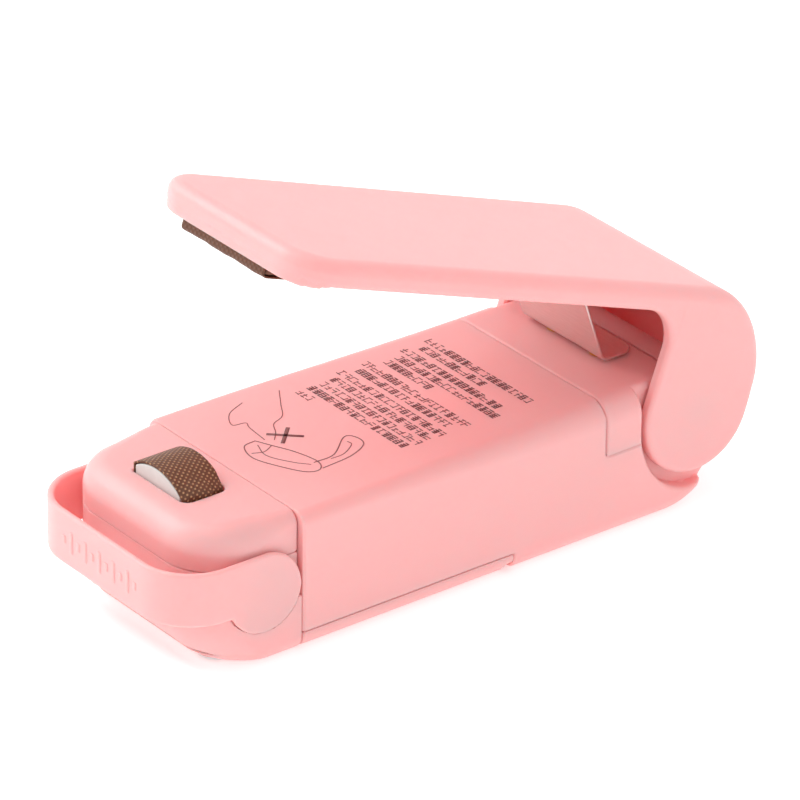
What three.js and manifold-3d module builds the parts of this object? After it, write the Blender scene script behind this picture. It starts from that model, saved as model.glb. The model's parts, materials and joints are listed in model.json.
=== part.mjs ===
// Handheld bag heat sealer: a palm-sized clamp with a battery body, a swinging lever, a heated
// nose and a bail that guards the hot spot. Millimetres, +Z up, +Y from the nose to the hinge,
// +X to the object's left. The origin is at the middle of the box that the open sealer fills, on
// the surface that it stands on. The lever is drawn closed, level with the deck, and then opened.
import * as THREE from "three";
import { mergeVertices } from "three/addons/utils/BufferGeometryUtils.js";
import Module from "manifold-3d";

const wasm = await Module();
wasm.setup();

// ---- Driving dimensions. Y is measured from the seam between the nose and the case. ----
const HALF_WIDTH = 17;
const DECK = 20; // top of the body
const DECK_LENGTH = 50.3; // from the nose seam to the rear cover
const WALL = 1.8;
const ROOF = DECK - WALL;
const FLOOR = 1.6;
const GAP = 0.3; // between touching pieces
const SEAM = GAP / 2;
const TOP_ROUND = 3.2;
const BOTTOM_ROUND = 1.8;
const ARC_STEPS = 7;

// Lever hinge. The lever stands OPEN_ANGLE above the level that it is drawn at.
const HINGE_Y = 66.2;
const HINGE_Z = DECK - 5.9;
const OPEN_ANGLE = THREE.MathUtils.degToRad(20);
const LOBE = 9; // radius of the lever's cheek round the hinge
const CHEEK = WALL;
const RECESS = LOBE + 2.2; // radius of the recess in the case round the hinge
const RECESS_X = HALF_WIDTH - CHEEK - GAP;
const LEVER_TIP = -9.2;
const LEVER_UNDER = DECK + 7.7;
const LEVER_TOP = LEVER_UNDER + 3.5;
const LEVER_BACK_ROUND = 12.5;
const NECK_FILLET = 5.5; // between the lever's underside and its neck
const LIP = 0.8; // how far the lever's front wall hangs below its sides
const LIP_HALF = 10.5;
const LIP_THICK = 0.6;
const LEVER_CORNER = 6.5;
const LEVER_CAVITY = LEVER_TOP - WALL;
const PIN_RADIUS = 1.25;

// Nose and its guard.
const NOSE_FRONT = -15.4;
const NOSE_ROUND = 7.2;
const NOSE_HALF = 15.85; // at the seam
const NOSE_HALF_FRONT = 15;
const NOSE_SPLIT = DECK - 5.7;
const SKIRT_TOP = DECK - 11.9;
const NOSE_TOP_ROUND = 3.6;
const NOSE_BOW = 5.2; // rounding of the nose's lower front edge
const GUARD_Y = -5.9; // pivot
const GUARD_Z = DECK - 9.5;
const GUARD_REACH = 14.2;
const GUARD_END = 5.6; // radius of the arm round its pivot
const GUARD_LOW = GUARD_Z - 2.1;
const GUARD_ROUND = 8;
const GUARD_FRONT_WALL = 1;
const GUARD_ARM_WALL = 0.9;
const STUD = 1.2;

// Heater.
const HEATER_HALF = 4.85;
const HEATER_FRONT = -10.3;
const HEATER_BACK = -3.6;
const DOME_RADIUS = 8.15;
const DOME_TOP = DECK + 2.2;
const DOME_CENTRE = DOME_TOP - DOME_RADIUS;
const HEATER_LOW = DECK - 4.1; // foot of the heater block

// Two AA cells side by side, one turned end for end.
const CELL_RADIUS = 7.1;
const CELL_X = CELL_RADIUS + 0.1;
const CELL_Z = 9;
const CELL_BODY = 49;
const CELL_NUB = 1;
const BAY_FRONT = -2;
const BAY_BACK = 53.2;
const BAY_HALF = HALF_WIDTH - WALL - 0.2;

// Battery door.
const DOOR_END = 34.9;
const DOOR_TOP = BOTTOM_ROUND + 0.8;
const DOOR_LOW = 0.4;

// Leaf spring, drawn with the lever open: its foot rests over the switch contacts.
const LEAF_HALF = 8.5;
const LEAF_THICK = 0.4;
const LEAF_BEND_Y = 56.8;
const LEAF_FOOT_Z = DECK + 0.45;
const LEAF_FOOT_LENGTH = 4.4;
const LEAF_TAB = 7;
const CONTACT_X = 4.5;
const CONTACT_Y = 59.2;

const PLASTIC = { color: 0xfbc3c3, roughness: 0.45, metalness: 0 };
const BROWN_CLOTH = { color: 0x7a4f36, roughness: 0.7, metalness: 0 };
const SILICONE = { color: 0x6b4a3a, roughness: 0.8, metalness: 0 };
const CERAMIC = { color: 0xd9d4cf, roughness: 0.6, metalness: 0 };
const STEEL = { color: 0xc4bdb8, roughness: 0.3, metalness: 1 };
const BRASS = { color: 0xc9a45c, roughness: 0.35, metalness: 1 };
const CELL_SKIN = { color: 0x3b6ea5, roughness: 0.35, metalness: 0.3 };
const RED_WIRE = { color: 0xb3261e, roughness: 0.5, metalness: 0 };
const BLACK_WIRE = { color: 0x222222, roughness: 0.5, metalness: 0 };

// ---- Solids ----

function toSolid(geometry) {
  const bare = geometry.clone();
  bare.deleteAttribute("normal");
  bare.deleteAttribute("uv");
  const merged = mergeVertices(bare, 1e-4);
  return new wasm.Manifold(new wasm.Mesh({
    numProp: 3,
    vertProperties: new Float32Array(merged.attributes.position.array),
    triVerts: new Uint32Array(merged.index.array),
  }));
}

function toGeometry(solid) {
  const mesh = solid.getMesh();
  const geometry = new THREE.BufferGeometry();
  geometry.setAttribute("position", new THREE.BufferAttribute(mesh.vertProperties, 3));
  geometry.setIndex(new THREE.BufferAttribute(mesh.triVerts, 1));
  geometry.computeVertexNormals();
  return geometry;
}

const AXES = {
  x: [[0, 1, 0], [0, 0, 1], [1, 0, 0]], // outline in Y and Z, pushed along X
  y: [[0, 0, 1], [1, 0, 0], [0, 1, 0]], // outline in Z and X, pushed along Y
  z: [[1, 0, 0], [0, 1, 0], [0, 0, 1]], // outline in X and Y, pushed along Z
};

// The solid that an outline sweeps from low to high along an axis.
function prism(axis, outline, low, high, steps = ARC_STEPS) {
  const geometry = new THREE.ExtrudeGeometry(outline, {
    depth: high - low, bevelEnabled: false, curveSegments: steps,
  });
  const [u, v, w] = AXES[axis].map((direction) => new THREE.Vector3(...direction));
  geometry.translate(0, 0, low);
  geometry.applyMatrix4(new THREE.Matrix4().makeBasis(u, v, w));
  return toSolid(geometry);
}

function box(x0, x1, y0, y1, z0, z1) {
  const geometry = new THREE.BoxGeometry(x1 - x0, y1 - y0, z1 - z0);
  geometry.translate((x0 + x1) / 2, (y0 + y1) / 2, (z0 + z1) / 2);
  return toSolid(geometry);
}

// A cylinder along x or z, between low and high, with its axis at a and b on the other two axes.
function cylinder(axis, radius, a, b, low, high, sides = 24) {
  const geometry = new THREE.CylinderGeometry(radius, radius, high - low, sides);
  geometry.translate(0, (low + high) / 2, 0);
  if (axis === "x") {
    geometry.rotateZ(-Math.PI / 2);
    geometry.translate(0, a, b);
  } else {
    geometry.rotateX(Math.PI / 2);
    geometry.translate(a, b, 0);
  }
  return toSolid(geometry);
}

function join(...solids) {
  return solids.reduce((sum, solid) => sum.add(solid));
}

function cut(solid, ...tools) {
  return tools.reduce((rest, tool) => rest.subtract(tool), solid);
}

function common(...solids) {
  return solids.reduce((shared, solid) => shared.intersect(solid));
}

// A tube of the given radius along a curve.
function tube(curve, radius, steps, sides = 8) {
  const section = new THREE.Shape();
  for (let side = 0; side < sides; side += 1) {
    const angle = (side / sides) * 2 * Math.PI;
    const corner = [radius * Math.cos(angle), radius * Math.sin(angle)];
    if (side === 0) section.moveTo(...corner);
    else section.lineTo(...corner);
  }
  section.closePath();
  return new THREE.ExtrudeGeometry(section, { extrudePath: curve, steps, bevelEnabled: false });
}

function smooth(points) {
  const vectors = points.map((point) => new THREE.Vector3(...point));
  return new THREE.CatmullRomCurve3(vectors, false, "centripetal");
}

// ---- Outlines ----

// A rectangle with its own corner radius at (u0,v0), (u1,v0), (u1,v1) and (u0,v1).
function rounded(u0, u1, v0, v1, [a, b, c, d]) {
  const shape = new THREE.Shape();
  shape.moveTo(u0 + a, v0);
  shape.lineTo(u1 - b, v0);
  if (b) shape.absarc(u1 - b, v0 + b, b, -Math.PI / 2, 0, false);
  shape.lineTo(u1, v1 - c);
  if (c) shape.absarc(u1 - c, v1 - c, c, 0, Math.PI / 2, false);
  shape.lineTo(u0 + d, v1);
  if (d) shape.absarc(u0 + d, v1 - d, d, Math.PI / 2, Math.PI, false);
  shape.lineTo(u0, v0 + a);
  if (a) shape.absarc(u0 + a, v0 + a, a, Math.PI, 1.5 * Math.PI, false);
  shape.closePath();
  return shape;
}

// The body's cross-section, in Z and X.
function bodySection(low, topRound, half = HALF_WIDTH) {
  const { PI } = Math;
  const shape = new THREE.Shape();
  shape.moveTo(low, -half + BOTTOM_ROUND);
  shape.absarc(low + BOTTOM_ROUND, -half + BOTTOM_ROUND, BOTTOM_ROUND, PI, 1.5 * PI, false);
  shape.absarc(DECK - topRound, -half + topRound, topRound, 1.5 * PI, 2 * PI, false);
  shape.absarc(DECK - topRound, half - topRound, topRound, 0, 0.5 * PI, false);
  shape.absarc(low + BOTTOM_ROUND, half - BOTTOM_ROUND, BOTTOM_ROUND, 0.5 * PI, PI, false);
  shape.closePath();
  return shape;
}

// The case seen from its side, in Y and Z: flat deck, housing round the hinge, round heel.
function caseSide() {
  const housing = DECK - HINGE_Z;
  const heel = 9;
  const heelY = 61.5;
  const shape = new THREE.Shape();
  shape.moveTo(SEAM, 0);
  shape.lineTo(heelY, 0);
  shape.absarc(heelY, heel, heel, -Math.PI / 2, 0, false);
  shape.absarc(HINGE_Y - 0.6, HINGE_Z, housing, -0.02 * Math.PI, Math.PI / 2, false);
  shape.lineTo(SEAM, DECK);
  shape.closePath();
  return shape;
}

// The space that a lever cheek swings in, in Y and Z.
function recessSide() {
  const top = DECK + 10;
  const shape = new THREE.Shape();
  shape.moveTo(HINGE_Y - RECESS, top);
  shape.lineTo(HINGE_Y - RECESS, HINGE_Z);
  shape.absarc(HINGE_Y, HINGE_Z, RECESS, Math.PI, 2 * Math.PI, false);
  shape.lineTo(HINGE_Y + RECESS, top);
  shape.closePath();
  return shape;
}

// The lever's outside seen from its side, level, in Y and Z.
function leverSide() {
  const fillet = NECK_FILLET;
  const front = HINGE_Y - LOBE;
  const backCentre = HINGE_Y + LOBE - LEVER_BACK_ROUND;
  const shape = new THREE.Shape();
  shape.moveTo(LEVER_TIP, LEVER_UNDER);
  shape.lineTo(front - fillet, LEVER_UNDER);
  shape.absarc(front - fillet, LEVER_UNDER - fillet, fillet, Math.PI / 2, 0, true);
  shape.lineTo(front, HINGE_Z);
  shape.absarc(HINGE_Y, HINGE_Z, LOBE, Math.PI, 2 * Math.PI, false);
  shape.absarc(backCentre, LEVER_TOP - LEVER_BACK_ROUND, LEVER_BACK_ROUND, 0, Math.PI / 2, false);
  shape.lineTo(LEVER_TIP + 1.2, LEVER_TOP);
  shape.lineTo(LEVER_TIP - 0.7, LEVER_TOP - 1.4);
  shape.closePath();
  return shape;
}

// The hollow between the lever's cheeks, open below, in Y and Z.
function leverHollow() {
  const inner = LEVER_BACK_ROUND - WALL;
  const backCentre = HINGE_Y + LOBE - LEVER_BACK_ROUND;
  const wallEnd = -0.13 * Math.PI;
  const out = LOBE + 4;
  const below = HINGE_Z + 6.6;
  const shape = new THREE.Shape();
  shape.moveTo(LEVER_TIP + WALL, below);
  shape.lineTo(LEVER_TIP + WALL, LEVER_CAVITY);
  shape.lineTo(backCentre, LEVER_CAVITY);
  shape.absarc(backCentre, LEVER_TOP - LEVER_BACK_ROUND, inner, Math.PI / 2, 0, true);
  shape.absarc(HINGE_Y, HINGE_Z, LOBE - WALL, 0, wallEnd, true);
  shape.lineTo(HINGE_Y + out * Math.cos(wallEnd), HINGE_Z + out * Math.sin(wallEnd));
  shape.lineTo(HINGE_Y, 0);
  shape.lineTo(HINGE_Y - 2 * LOBE, 0);
  shape.lineTo(HINGE_Y - 2 * LOBE, below);
  shape.closePath();
  return shape;
}

// The nose in plan, narrowing towards a round front, shrunk by inset.
function nosePlan(halfRear, halfFront, rear, inset = 0) {
  const radius = NOSE_ROUND - inset;
  const front = NOSE_FRONT + inset;
  const a = halfRear - inset;
  const b = halfFront - inset;
  const shape = new THREE.Shape();
  shape.moveTo(a, rear);
  shape.lineTo(-a, rear);
  shape.lineTo(-a, -6);
  shape.lineTo(-b, front + radius);
  shape.absarc(-b + radius, front + radius, radius, Math.PI, 1.5 * Math.PI, false);
  shape.absarc(b - radius, front + radius, radius, 1.5 * Math.PI, 2 * Math.PI, false);
  shape.lineTo(a, -6);
  shape.closePath();
  return shape;
}

// The rounding of the nose, for a part of it with the given half width.
function noseEnvelope(half) {
  const side = rounded(NOSE_FRONT, 1, 0, DECK, [NOSE_BOW, 0, 0, NOSE_TOP_ROUND]);
  return common(
    prism("x", side, -HALF_WIDTH, HALF_WIDTH),
    prism("y", bodySection(0, NOSE_TOP_ROUND, half), NOSE_FRONT, 1),
  );
}

// The heater's dome in Z and X: a round top of the given half width over straight sides.
function domeSection(half, radius, bottom) {
  const edge = Math.asin(half / radius);
  const shape = new THREE.Shape();
  shape.moveTo(bottom, -half);
  shape.lineTo(DOME_CENTRE + radius * Math.cos(edge), -half);
  shape.absarc(DOME_CENTRE, 0, radius, -edge, edge, false);
  shape.lineTo(bottom, half);
  shape.closePath();
  return shape;
}

// ---- Screws, pins and wires ----

// A screw standing head down, its head's outer face at z.
function screw(x, y, z, length) {
  const head = 1.9;
  const headHeight = 1.2;
  const shank = 0.85;
  const slotHalf = 0.3;
  const slotDepth = 0.5;
  return cut(
    join(
      cylinder("z", head, x, y, z, z + headHeight, 20),
      cylinder("z", shank, x, y, z + headHeight - 0.2, z + length, 12),
    ),
    box(x - 1.2, x + 1.2, y - slotHalf, y + slotHalf, z - 1, z + slotDepth),
    box(x - slotHalf, x + slotHalf, y - 1.2, y + 1.2, z - 1, z + slotDepth),
  );
}

class Helix extends THREE.Curve {
  // A cone-shaped coil along Y, from a wide end to a narrow one.
  constructor(x, z, wideY, narrowY, wide, narrow, turns) {
    super();
    Object.assign(this, { x, z, wideY, narrowY, wide, narrow, turns });
  }

  getPoint(t, target = new THREE.Vector3()) {
    const angle = 2 * Math.PI * this.turns * t;
    const radius = this.wide + (this.narrow - this.wide) * t;
    return target.set(
      this.x + radius * Math.cos(angle),
      this.wideY + (this.narrowY - this.wideY) * t,
      this.z + radius * Math.sin(angle),
    );
  }
}

// ---- Pieces of the body ----

const COVER_SCREW = [10.4, 58.4];
const NOSE_SCREW = [10.2, -9.2];
const COVER_BACK = 64;
const SKIRT_SPLIT = DECK - 8; // bottom of the rear cover's side skirts

function makeMainCase() {
  const [screwX, screwY] = COVER_SCREW;
  const outer = common(
    prism("y", bodySection(0, TOP_ROUND), SEAM, HINGE_Y + LOBE),
    prism("x", caseSide(), -HALF_WIDTH, HALF_WIDTH),
  );
  const far = HALF_WIDTH + 3;
  return cut(
    outer,
    prism("x", recessSide(), RECESS_X, far, 16),
    prism("x", recessSide(), -far, -RECESS_X, 16),
    box(-BAY_HALF, BAY_HALF, -1, BAY_BACK, FLOOR, ROOF),
    box(-far, far, -1, DOOR_END + GAP, -1, DOOR_TOP + GAP),
    box(-far, far, DECK_LENGTH, COVER_BACK + GAP, ROOF - GAP, DECK + 5),
    box(-far, -BAY_HALF + 0.1, DECK_LENGTH, HINGE_Y - RECESS + 0.1, SKIRT_SPLIT, DECK + 5),
    box(BAY_HALF - 0.1, far, DECK_LENGTH, HINGE_Y - RECESS + 0.1, SKIRT_SPLIT, DECK + 5),
    box(-13, 13, 54.8, 62, FLOOR, ROOF + 1),
    box(-6, 6, BAY_BACK - 1, 56, 13.5, ROOF + 1),
    cylinder("x", PIN_RADIUS + 0.25, HINGE_Y, HINGE_Z, -HALF_WIDTH, HALF_WIDTH),
    cylinder("z", 1.15, screwX, screwY, -1, 5),
    cylinder("z", 1.15, -screwX, screwY, -1, 5),
    cylinder("z", 2.2, screwX, screwY, -1, 0.5 + FLOOR / 2),
    cylinder("z", 2.2, -screwX, screwY, -1, 0.5 + FLOOR / 2),
  );
}

function makeRearCover() {
  const [screwX, screwY] = COVER_SCREW;
  const front = DECK_LENGTH + GAP;
  const skirtBack = HINGE_Y - RECESS;
  const bossFoot = 8;
  const shell = common(
    prism("y", bodySection(0, TOP_ROUND), front, skirtBack),
    box(-HALF_WIDTH, HALF_WIDTH, front, skirtBack, SKIRT_SPLIT + GAP, DECK),
  );
  const bosses = [-screwX, screwX].map((x) => cylinder("z", 2.4, x, screwY, bossFoot, DECK - 0.5));
  const holes = [-screwX, screwX].map((x) => cylinder("z", 1.1, x, screwY, bossFoot - 1, 16));
  const contactHoles = [-CONTACT_X, CONTACT_X].map(
    (x) => cylinder("z", 1.3, x, CONTACT_Y, ROOF - 2, DECK + 1),
  );
  return cut(
    join(
      cut(shell, box(-BAY_HALF, BAY_HALF, front - 1, skirtBack + 1, 0, ROOF)),
      box(-RECESS_X, RECESS_X, skirtBack - 1, COVER_BACK, ROOF, DECK),
      ...bosses,
    ),
    ...holes,
    ...contactHoles,
  );
}

function makeBatteryDoor() {
  const front = SEAM + GAP;
  const lip = box(-HALF_WIDTH, HALF_WIDTH, front, DOOR_END, DOOR_LOW, DOOR_TOP);
  const rib = box(-0.9, 0.9, 4, DOOR_END - 3, FLOOR - 0.1, FLOOR + 2.3);
  const notches = [-1, 1].map((side) => {
    const a = side * (HALF_WIDTH + 1);
    const b = side * (HALF_WIDTH - 3.6);
    return box(Math.min(a, b), Math.max(a, b), DOOR_END - 1.1, DOOR_END + 1, 0, 1.3);
  });
  return join(
    cut(
      common(prism("y", bodySection(DOOR_LOW, TOP_ROUND), front, DOOR_END), lip),
      box(-BAY_HALF, BAY_HALF, 0, DOOR_END + 1, FLOOR, DOOR_TOP + 1),
      ...notches,
    ),
    rib,
  );
}

function makeNoseBase() {
  const [screwX, screwY] = NOSE_SCREW;
  const rear = -0.2;
  const wide = HALF_WIDTH - 0.1;
  const split = NOSE_SPLIT - GAP / 2;
  const inside = 1.2;
  const skirt = prism("z", nosePlan(wide, wide - 0.4, rear), 0, SKIRT_TOP);
  const upper = prism("z", nosePlan(NOSE_HALF, NOSE_HALF_FRONT, rear), 1, split);
  const shell = cut(
    common(noseEnvelope(HALF_WIDTH), join(skirt, upper)),
    prism("z", nosePlan(NOSE_HALF, NOSE_HALF_FRONT, 2, inside), FLOOR, DECK),
    cylinder("x", GUARD_END + GAP, GUARD_Y, GUARD_Z, NOSE_HALF, HALF_WIDTH + 1, 40),
    cylinder("x", GUARD_END + GAP, GUARD_Y, GUARD_Z, -HALF_WIDTH - 1, -NOSE_HALF, 40),
    cylinder("x", STUD + 0.25, GUARD_Y, GUARD_Z, -HALF_WIDTH, HALF_WIDTH),
  );
  const rests = [HEATER_FRONT - 0.7, HEATER_BACK - 1.4].map(
    (y) => box(-4, 4, y, y + 0.9, FLOOR - 0.2, HEATER_LOW - GAP),
  );
  const bosses = [-screwX, screwX].map((x) => cylinder("z", 2.6, x, screwY, 0.2, 11.5));
  const holes = [-screwX, screwX].flatMap((x) => [
    cylinder("z", 1.15, x, screwY, -1, 12),
    cylinder("z", 2.2, x, screwY, -1, 1.6),
  ]);
  return cut(join(shell, ...rests, ...bosses), ...holes);
}

function makeNoseCap() {
  const [screwX, screwY] = NOSE_SCREW;
  const rear = -0.2;
  const outer = common(
    noseEnvelope(NOSE_HALF),
    prism("z", nosePlan(NOSE_HALF, NOSE_HALF_FRONT, rear), NOSE_SPLIT + GAP / 2, DECK),
  );
  const hollow = common(
    prism("z", nosePlan(NOSE_HALF, NOSE_HALF_FRONT, 2, 1.2), NOSE_SPLIT - 1, ROOF),
    prism("y", rounded(NOSE_SPLIT - 2, ROOF, -HALF_WIDTH, HALF_WIDTH, [0, 3, 3, 0]), -20, 3),
  );
  const slot = box(-HEATER_HALF - 1, HEATER_HALF + 1, HEATER_FRONT - GAP, HEATER_BACK + GAP, 10, 25);
  const tab = box(-2.4, 2.4, rear - 2, 4, ROOF - 1.7, ROOF - GAP);
  const riser = box(-2.4, 2.4, rear - 2, rear, ROOF - 1.7, ROOF + 0.5);
  const bosses = [-screwX, screwX].map((x) => cylinder("z", 2.2, x, screwY, 11.9, ROOF + 0.3));
  const holes = [-screwX, screwX].map((x) => cylinder("z", 1.1, x, screwY, 11, 16.4));
  return cut(join(cut(outer, hollow, slot), tab, riser, ...bosses), ...holes);
}

function makeGuard() {
  const front = GUARD_Y - GUARD_REACH;
  const arcY = front + GUARD_ROUND;
  const arcX = HALF_WIDTH - GUARD_ROUND;
  const rear = GUARD_Y + GUARD_END;
  const { PI } = Math;
  const innerHalf = HALF_WIDTH - GUARD_ARM_WALL;
  const plan = new THREE.Shape();
  plan.moveTo(-HALF_WIDTH, rear);
  plan.lineTo(-HALF_WIDTH, arcY);
  plan.absarc(-arcX, arcY, GUARD_ROUND, PI, 1.5 * PI, false);
  plan.absarc(arcX, arcY, GUARD_ROUND, 1.5 * PI, 2 * PI, false);
  plan.lineTo(HALF_WIDTH, rear);
  plan.lineTo(innerHalf, rear);
  const across = innerHalf - arcX;
  const along = GUARD_ROUND - GUARD_FRONT_WALL;
  plan.absellipse(arcX, arcY, across, along, 2 * PI, 1.5 * PI, true, 0);
  plan.absellipse(-arcX, arcY, across, along, 1.5 * PI, PI, true, 0);
  plan.lineTo(-innerHalf, rear);
  plan.closePath();

  const top = GUARD_Z + GUARD_END;
  const side = new THREE.Shape();
  const drop = Math.asin((GUARD_Z - GUARD_LOW) / GUARD_END);
  side.moveTo(front, GUARD_LOW);
  side.lineTo(GUARD_Y - GUARD_END * Math.cos(drop), GUARD_LOW);
  side.absarc(GUARD_Y, GUARD_Z, GUARD_END, PI + drop, 2.5 * PI, false);
  side.lineTo(front, top);
  side.closePath();

  const band = common(
    prism("z", plan, GUARD_Z - 2 * GUARD_END, top, 12),
    prism("x", side, -HALF_WIDTH, HALF_WIDTH, 20),
  );
  const studEnd = NOSE_HALF - 1;
  return join(
    band,
    cylinder("x", STUD, GUARD_Y, GUARD_Z, studEnd, innerHalf + 0.3, 16),
    cylinder("x", STUD, GUARD_Y, GUARD_Z, -innerHalf - 0.3, -studEnd, 16),
  );
}

// ---- Lever and what it carries, drawn level ----

const PAD_FRONT = LEVER_TIP + LIP_THICK + GAP;
const PAD_BACK = -2.4;
const PAD_HALF = 9.4;
const PAD_LOW = LEVER_UNDER - 2.2;
const PAD_TOP = LEVER_UNDER - 0.1;
const LEAF_BOSS = [39.4, 48.4];
const LEAF_BOSS_FOOT = LEVER_UNDER + 0.3;
const LEAF_SCREW_Y = 43.5;

function makeLever() {
  const far = 90;
  const plan = rounded(
    -HALF_WIDTH, HALF_WIDTH, LEVER_TIP - 0.7, far, [LEVER_CORNER, LEVER_CORNER, 0, 0],
  );
  const innerHalf = HALF_WIDTH - CHEEK;
  const innerPlan = rounded(
    -innerHalf, innerHalf, LEVER_TIP + WALL - 0.5, far, [LEVER_CORNER - 1.5, LEVER_CORNER - 1.5, 0, 0],
  );
  const outer = common(
    prism("x", leverSide(), -HALF_WIDTH, HALF_WIDTH, 16),
    prism("z", plan, 0, LEVER_TOP + 1),
  );
  const lip = common(
    box(-LIP_HALF, LIP_HALF, LEVER_TIP, LEVER_TIP + LIP_THICK, LEVER_UNDER - LIP, LEVER_UNDER + 1),
    prism("z", plan, 0, LEVER_TOP + 1),
  );
  const hollow = common(
    prism("x", leverHollow(), -innerHalf, innerHalf, 16),
    prism("z", innerPlan, -1, LEVER_TOP),
  );
  const seatHalf = PAD_HALF + 0.6;
  const roof = LEVER_TOP - 1.3;
  const padSeat = box(-seatHalf, seatHalf, LEVER_TIP + 1, PAD_BACK + 0.6, LEVER_UNDER, roof);
  const [bossFront, bossBack] = LEAF_BOSS;
  const leafBoss = box(-LEAF_HALF, LEAF_HALF, bossFront, bossBack, LEAF_BOSS_FOOT, LEVER_CAVITY + 0.4);
  const ribHalf = innerHalf + 0.2;
  const ribs = [8, 18, 28].map((y) => box(-ribHalf, ribHalf, y, y + 1.2, LEVER_UNDER + 1, roof));
  const screwHoles = [-5, 5].map(
    (x) => cylinder("z", 1.1, x, LEAF_SCREW_Y, LEAF_BOSS_FOOT - 1, LEVER_CAVITY + 0.6),
  );
  return cut(
    join(cut(outer, hollow), lip, padSeat, leafBoss, ...ribs),
    cylinder("x", PIN_RADIUS + 0.25, HINGE_Y, HINGE_Z, -innerHalf - 1, innerHalf + 1),
    ...screwHoles,
  );
}

function makePressurePad() {
  const inset = 0.35;
  return box(
    -PAD_HALF, PAD_HALF, PAD_FRONT + inset, PAD_BACK - inset, PAD_LOW + inset, PAD_TOP,
  );
}

// The woven strip that wraps the pad's face and turns up at its front and back.
function makePadCloth() {
  const thick = 0.25;
  const far = PAD_HALF + 1;
  return cut(
    box(-PAD_HALF, PAD_HALF, PAD_FRONT, PAD_BACK, PAD_LOW, PAD_TOP),
    box(-far, far, PAD_FRONT + thick, PAD_BACK - thick, PAD_LOW + thick, PAD_TOP + 1),
  );
}

// Where a point of the level lever goes when the lever is open, as Y and Z.
function opened(y, z) {
  const dy = y - HINGE_Y;
  const dz = z - HINGE_Z;
  return [
    HINGE_Y + dy * Math.cos(OPEN_ANGLE) + dz * Math.sin(OPEN_ANGLE),
    HINGE_Z - dy * Math.sin(OPEN_ANGLE) + dz * Math.cos(OPEN_ANGLE),
  ];
}

// The leaf spring at rest: a tab under the lever, a slanting leg, and a foot over the contacts.
function makeLeafSpring() {
  const tabTop = LEAF_BOSS_FOOT - 0.1;
  const tabY = 47.2;
  const path = [
    opened(tabY - LEAF_TAB, tabTop),
    opened(tabY, tabTop),
    [LEAF_BEND_Y, LEAF_FOOT_Z + LEAF_THICK],
    [LEAF_BEND_Y + LEAF_FOOT_LENGTH, LEAF_FOOT_Z + LEAF_THICK],
  ];
  const under = [
    opened(tabY - LEAF_TAB, tabTop - LEAF_THICK),
    opened(tabY - 0.25, tabTop - LEAF_THICK),
    [LEAF_BEND_Y - 0.3, LEAF_FOOT_Z],
    [LEAF_BEND_Y + LEAF_FOOT_LENGTH, LEAF_FOOT_Z],
  ];
  const shape = new THREE.Shape();
  shape.moveTo(...path[0]);
  for (const point of [...path.slice(1), ...under.reverse()]) shape.lineTo(...point);
  shape.closePath();
  return cut(
    prism("x", shape, -LEAF_HALF, LEAF_HALF),
    ...[-5, 5].map((x) => {
      const hole = new THREE.CylinderGeometry(1.1, 1.1, 4, 16);
      const [y, z] = opened(LEAF_SCREW_Y, tabTop);
      hole.rotateX(Math.PI / 2 - OPEN_ANGLE);
      hole.translate(x, y, z);
      return toSolid(hole);
    }),
  );
}

// ---- Heater ----

function makeHeaterBlock() {
  return join(
    prism("y", domeSection(HEATER_HALF, DOME_RADIUS, HEATER_LOW), HEATER_FRONT, HEATER_BACK),
    box(-HEATER_HALF, HEATER_HALF, HEATER_FRONT - 1, HEATER_BACK + 1, HEATER_LOW, ROOF - GAP),
  );
}

// A band bent over the dome, between two heights above it, down to the level called foot.
function domeBand(near, thick, front, back, foot) {
  const far = near + thick;
  const outer = domeSection(HEATER_HALF + far, DOME_RADIUS + far + 0.05, foot);
  const inner = domeSection(HEATER_HALF + near, DOME_RADIUS + near + 0.05, foot - 1);
  return cut(prism("y", outer, front, back), prism("y", inner, front - 1, back + 1));
}

function makeHeaterStrip() {
  return domeBand(0.1, 0.15, -8.3, -5.7, HEATER_LOW - 1.7);
}

function makeHeaterCloth() {
  return domeBand(0.35, 0.3, HEATER_FRONT + 0.2, HEATER_BACK, ROOF - 1);
}

// ---- Battery gear ----

function makeCell(nubY, bodyY) {
  const nub = 2.6;
  const outward = Math.sign(nubY - bodyY);
  const profile = [
    [0, 0], [CELL_RADIUS, 0], [CELL_RADIUS, CELL_BODY], [nub, CELL_BODY],
    [nub, CELL_BODY + CELL_NUB], [0, CELL_BODY + CELL_NUB],
  ].map(([radius, along]) => new THREE.Vector2(radius, along));
  const geometry = new THREE.LatheGeometry(profile, 28);
  if (outward < 0) geometry.rotateX(Math.PI);
  geometry.translate(0, nubY - outward * (CELL_BODY + CELL_NUB), 0);
  return geometry;
}

const PLATE_Y = BAY_FRONT - 0.5;

function makePlusContact() {
  return join(
    box(CELL_X - 5, CELL_X + 5, PLATE_Y, PLATE_Y + 0.4, 3, 14.4),
    box(CELL_X - 1.6, CELL_X + 1.6, PLATE_Y + 0.3, PLATE_Y + 0.55, CELL_Z - 1.6, CELL_Z + 1.6),
  );
}

function makeMinusContact() {
  return box(-CELL_X - 5, -CELL_X + 5, PLATE_Y, PLATE_Y + 0.4, 3, 14.4);
}

function makeBridgePlate() {
  return box(-CELL_X - 5, CELL_X + 5, BAY_BACK - 0.7, BAY_BACK - GAP, 3, 13);
}

function coil(x, wideY, narrowY) {
  return tube(new Helix(x, CELL_Z, wideY, narrowY, 3.6, 2.4, 3.25), 0.35, 42, 6);
}

// ---- Wires. The two long leads run along the valley between the cells. ----

const WIRE = 0.5;
const VALLEY_X = 0.8;
const VALLEY_Z = 14.5;
const TERMINAL_X = HEATER_HALF + 1;
const TERMINAL_Z = HEATER_LOW - 2.5;
const LEAD_END_Z = 15; // on top of a contact plate

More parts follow.
